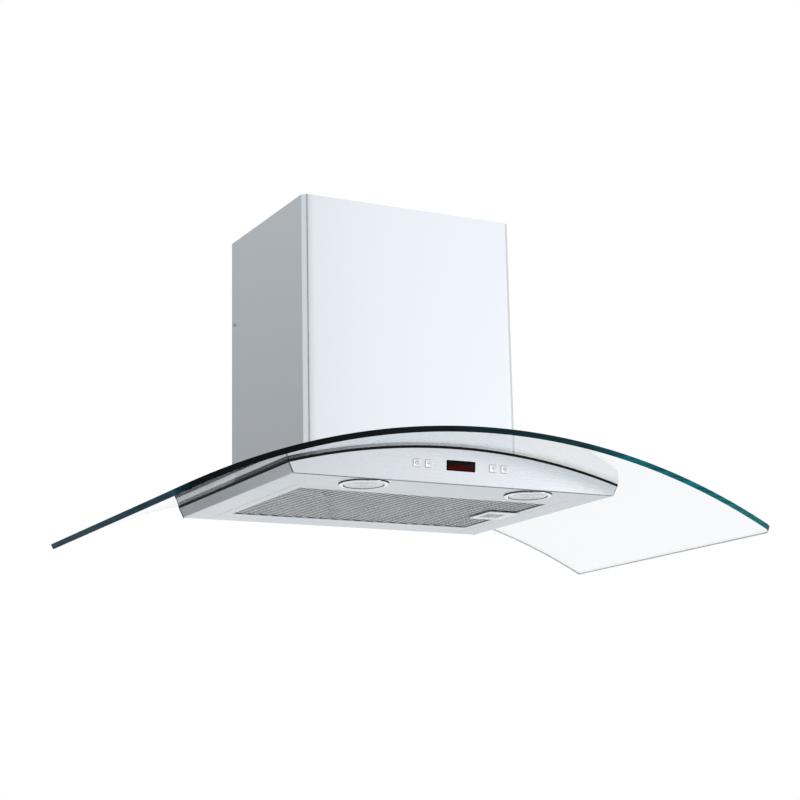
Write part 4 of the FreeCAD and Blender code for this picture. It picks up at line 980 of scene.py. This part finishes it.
class HOOD_OT_stage(bpy.types.Operator):
    """Pale floor, soft lamps, white surroundings and the camera"""

    bl_idname = "hood.stage"
    bl_label = "Stage"

    def execute(self, context):
        scene = context.scene
        scene.view_settings.view_transform = "Standard"
        mesh = bpy.data.meshes.new("studio_floor")
        half, low = FLOOR_HALF, FLOOR_Z
        mesh.from_pydata([(-half, -half, low), (half, -half, low), (half, half, low),
                          (-half, half, low)], [], [(0, 1, 2, 3)])
        floor = bpy.data.objects.new("studio_floor", mesh)
        scene.collection.objects.link(floor)
        mesh.materials.append(self.floor_paint())
        self.surroundings(scene)
        for settings in LAMPS:
            self.lamp(*settings)
        for settings in CARDS:
            self.card(*settings)
        camera = bpy.data.cameras.new("photo_camera")
        camera.lens = CAMERA_LENS
        camera.sensor_width = CAMERA_SENSOR
        eye = bpy.data.objects.new("photo_camera", camera)
        eye.location = CAMERA_PLACE
        eye.rotation_euler = [math.radians(a) for a in CAMERA_TURN]
        scene.collection.objects.link(eye)
        scene.camera = eye
        return {"FINISHED"}

    def floor_paint(self):
        """Pale paint that cameras and reflections see mostly as white, with some shadow kept."""
        paint = plain("studio_floor_paint")
        tree = paint.node_tree
        glow = node(tree, "ShaderNodeEmission", [("Color", STUDIO_WHITE), ("Strength", 1.0)])
        path = node(tree, "ShaderNodeLightPath")
        share = node(tree, "ShaderNodeMath", [(1, FLOOR_WHITE)], operation="MULTIPLY")
        seen = larger(tree, path.outputs["Is Camera Ray"], path.outputs["Is Glossy Ray"])
        tree.links.new(seen, share.inputs[0])
        both = mix_shader(tree, share.outputs[0], tree.nodes["Principled BSDF"].outputs["BSDF"],
                          glow.outputs["Emission"])
        tree.links.new(both, tree.nodes["Material Output"].inputs["Surface"])
        return paint

    def surroundings(self, scene):
        """Even light, and plain white where cameras, reflections and the glass show it."""
        world = bpy.data.worlds.new("studio_world")
        world.use_nodes = True
        scene.world = world
        tree = world.node_tree
        light = tree.nodes["Background"]
        light.inputs["Color"].default_value = WORLD_COLOUR
        light.inputs["Strength"].default_value = WORLD_LEVEL
        white = node(tree, "ShaderNodeBackground", [("Color", (1, 1, 1, 1)), ("Strength", 1.0)])
        path = node(tree, "ShaderNodeLightPath")
        seen = larger(tree, path.outputs["Is Camera Ray"], path.outputs["Is Glossy Ray"])
        seen = larger(tree, seen, path.outputs["Is Transmission Ray"])
        both = mix_shader(tree, seen, light.outputs["Background"], white.outputs["Background"])
        tree.links.new(both, tree.nodes["World Output"].inputs["Surface"])

    def hang(self, name, data, place, target):
        """A new object in its place, facing its target."""
        made = bpy.data.objects.new(name, data)
        made.location = place
        made.rotation_euler = (Vector(target) - Vector(place)).to_track_quat("-Z", "Y").to_euler()
        bpy.context.scene.collection.objects.link(made)
        return made

    def lamp(self, name, place, target, size, power):
        light = bpy.data.lights.new(name, "AREA")
        light.shape = "RECTANGLE"
        light.size, light.size_y = size
        light.energy = power
        made = self.hang(name, light, place, target)
        made.visible_camera = False
        made.visible_transmission = False

    def card(self, name, place, target, size, level):
        """A grey board that only reflections see."""
        x, y = size[0] / 2, size[1] / 2
        mesh = bpy.data.meshes.new(name)
        mesh.from_pydata([(-x, -y, 0), (x, -y, 0), (x, y, 0), (-x, y, 0)], [], [(0, 1, 2, 3)])
        material = bpy.data.materials.new(name)
        material.use_nodes = True
        tree = material.node_tree
        tree.nodes.remove(tree.nodes["Principled BSDF"])
        glow = node(tree, "ShaderNodeEmission", [("Color", STUDIO_WHITE)])
        where = node(tree, "ShaderNodeTexCoord")
        apart = node(tree, "ShaderNodeSeparateXYZ")
        slope = node(tree, "ShaderNodeMapRange", [
            ("From Min", -y), ("From Max", y),
            ("To Min", level * (1 - CARD_FADE)), ("To Max", level * (1 + CARD_FADE))])
        tree.links.new(where.outputs["Object"], apart.inputs["Vector"])
        tree.links.new(apart.outputs["Y"], slope.inputs["Value"])
        tree.links.new(slope.outputs["Result"], glow.inputs["Strength"])
        tree.links.new(glow.outputs["Emission"], tree.nodes["Material Output"].inputs["Surface"])
        mesh.materials.append(material)
        made = self.hang(name, mesh, place, target)
        for kind in ("visible_camera", "visible_transmission", "visible_diffuse",
                     "visible_shadow"):
            setattr(made, kind, False)


class HOOD_PT_panel(bpy.types.Panel):
    """Sizes, colours and pieces of the range hood"""

    bl_idname = "HOOD_PT_panel"
    bl_label = "Range hood"
    bl_space_type = "VIEW_3D"
    bl_region_type = "UI"
    bl_category = "Range hood"

    def draw(self, context):
        column = self.layout.column()
        for group in (context.scene.hood_sizes, context.scene.hood_colours):
            for key in group.__annotations__:
                column.prop(group, key)
        for operator in OPERATORS:
            column.operator(operator.bl_idname)


OPERATORS = (HOOD_OT_glass, HOOD_OT_chimney, HOOD_OT_filter, HOOD_OT_trims, HOOD_OT_lamps,
             HOOD_OT_controls, HOOD_OT_finishes, HOOD_OT_stage)
CLASSES = (HoodSizes, HoodColours, *OPERATORS, HOOD_PT_panel)


def register():
    for kind in CLASSES:
        bpy.utils.register_class(kind)
    bpy.types.Scene.hood_sizes = PointerProperty(type=HoodSizes)
    bpy.types.Scene.hood_colours = PointerProperty(type=HoodColours)


def unregister():
    del bpy.types.Scene.hood_colours
    del bpy.types.Scene.hood_sizes
    for kind in reversed(CLASSES):
        bpy.utils.unregister_class(kind)


def main():
    register()
    bpy.ops.hood.glass()
    bpy.ops.hood.chimney()
    bpy.ops.hood.filter_net()
    bpy.ops.hood.trims()
    bpy.ops.hood.lamps()
    bpy.ops.hood.controls()
    bpy.ops.hood.finishes()
    bpy.ops.hood.stage()


if __name__ == "__main__":
    main()
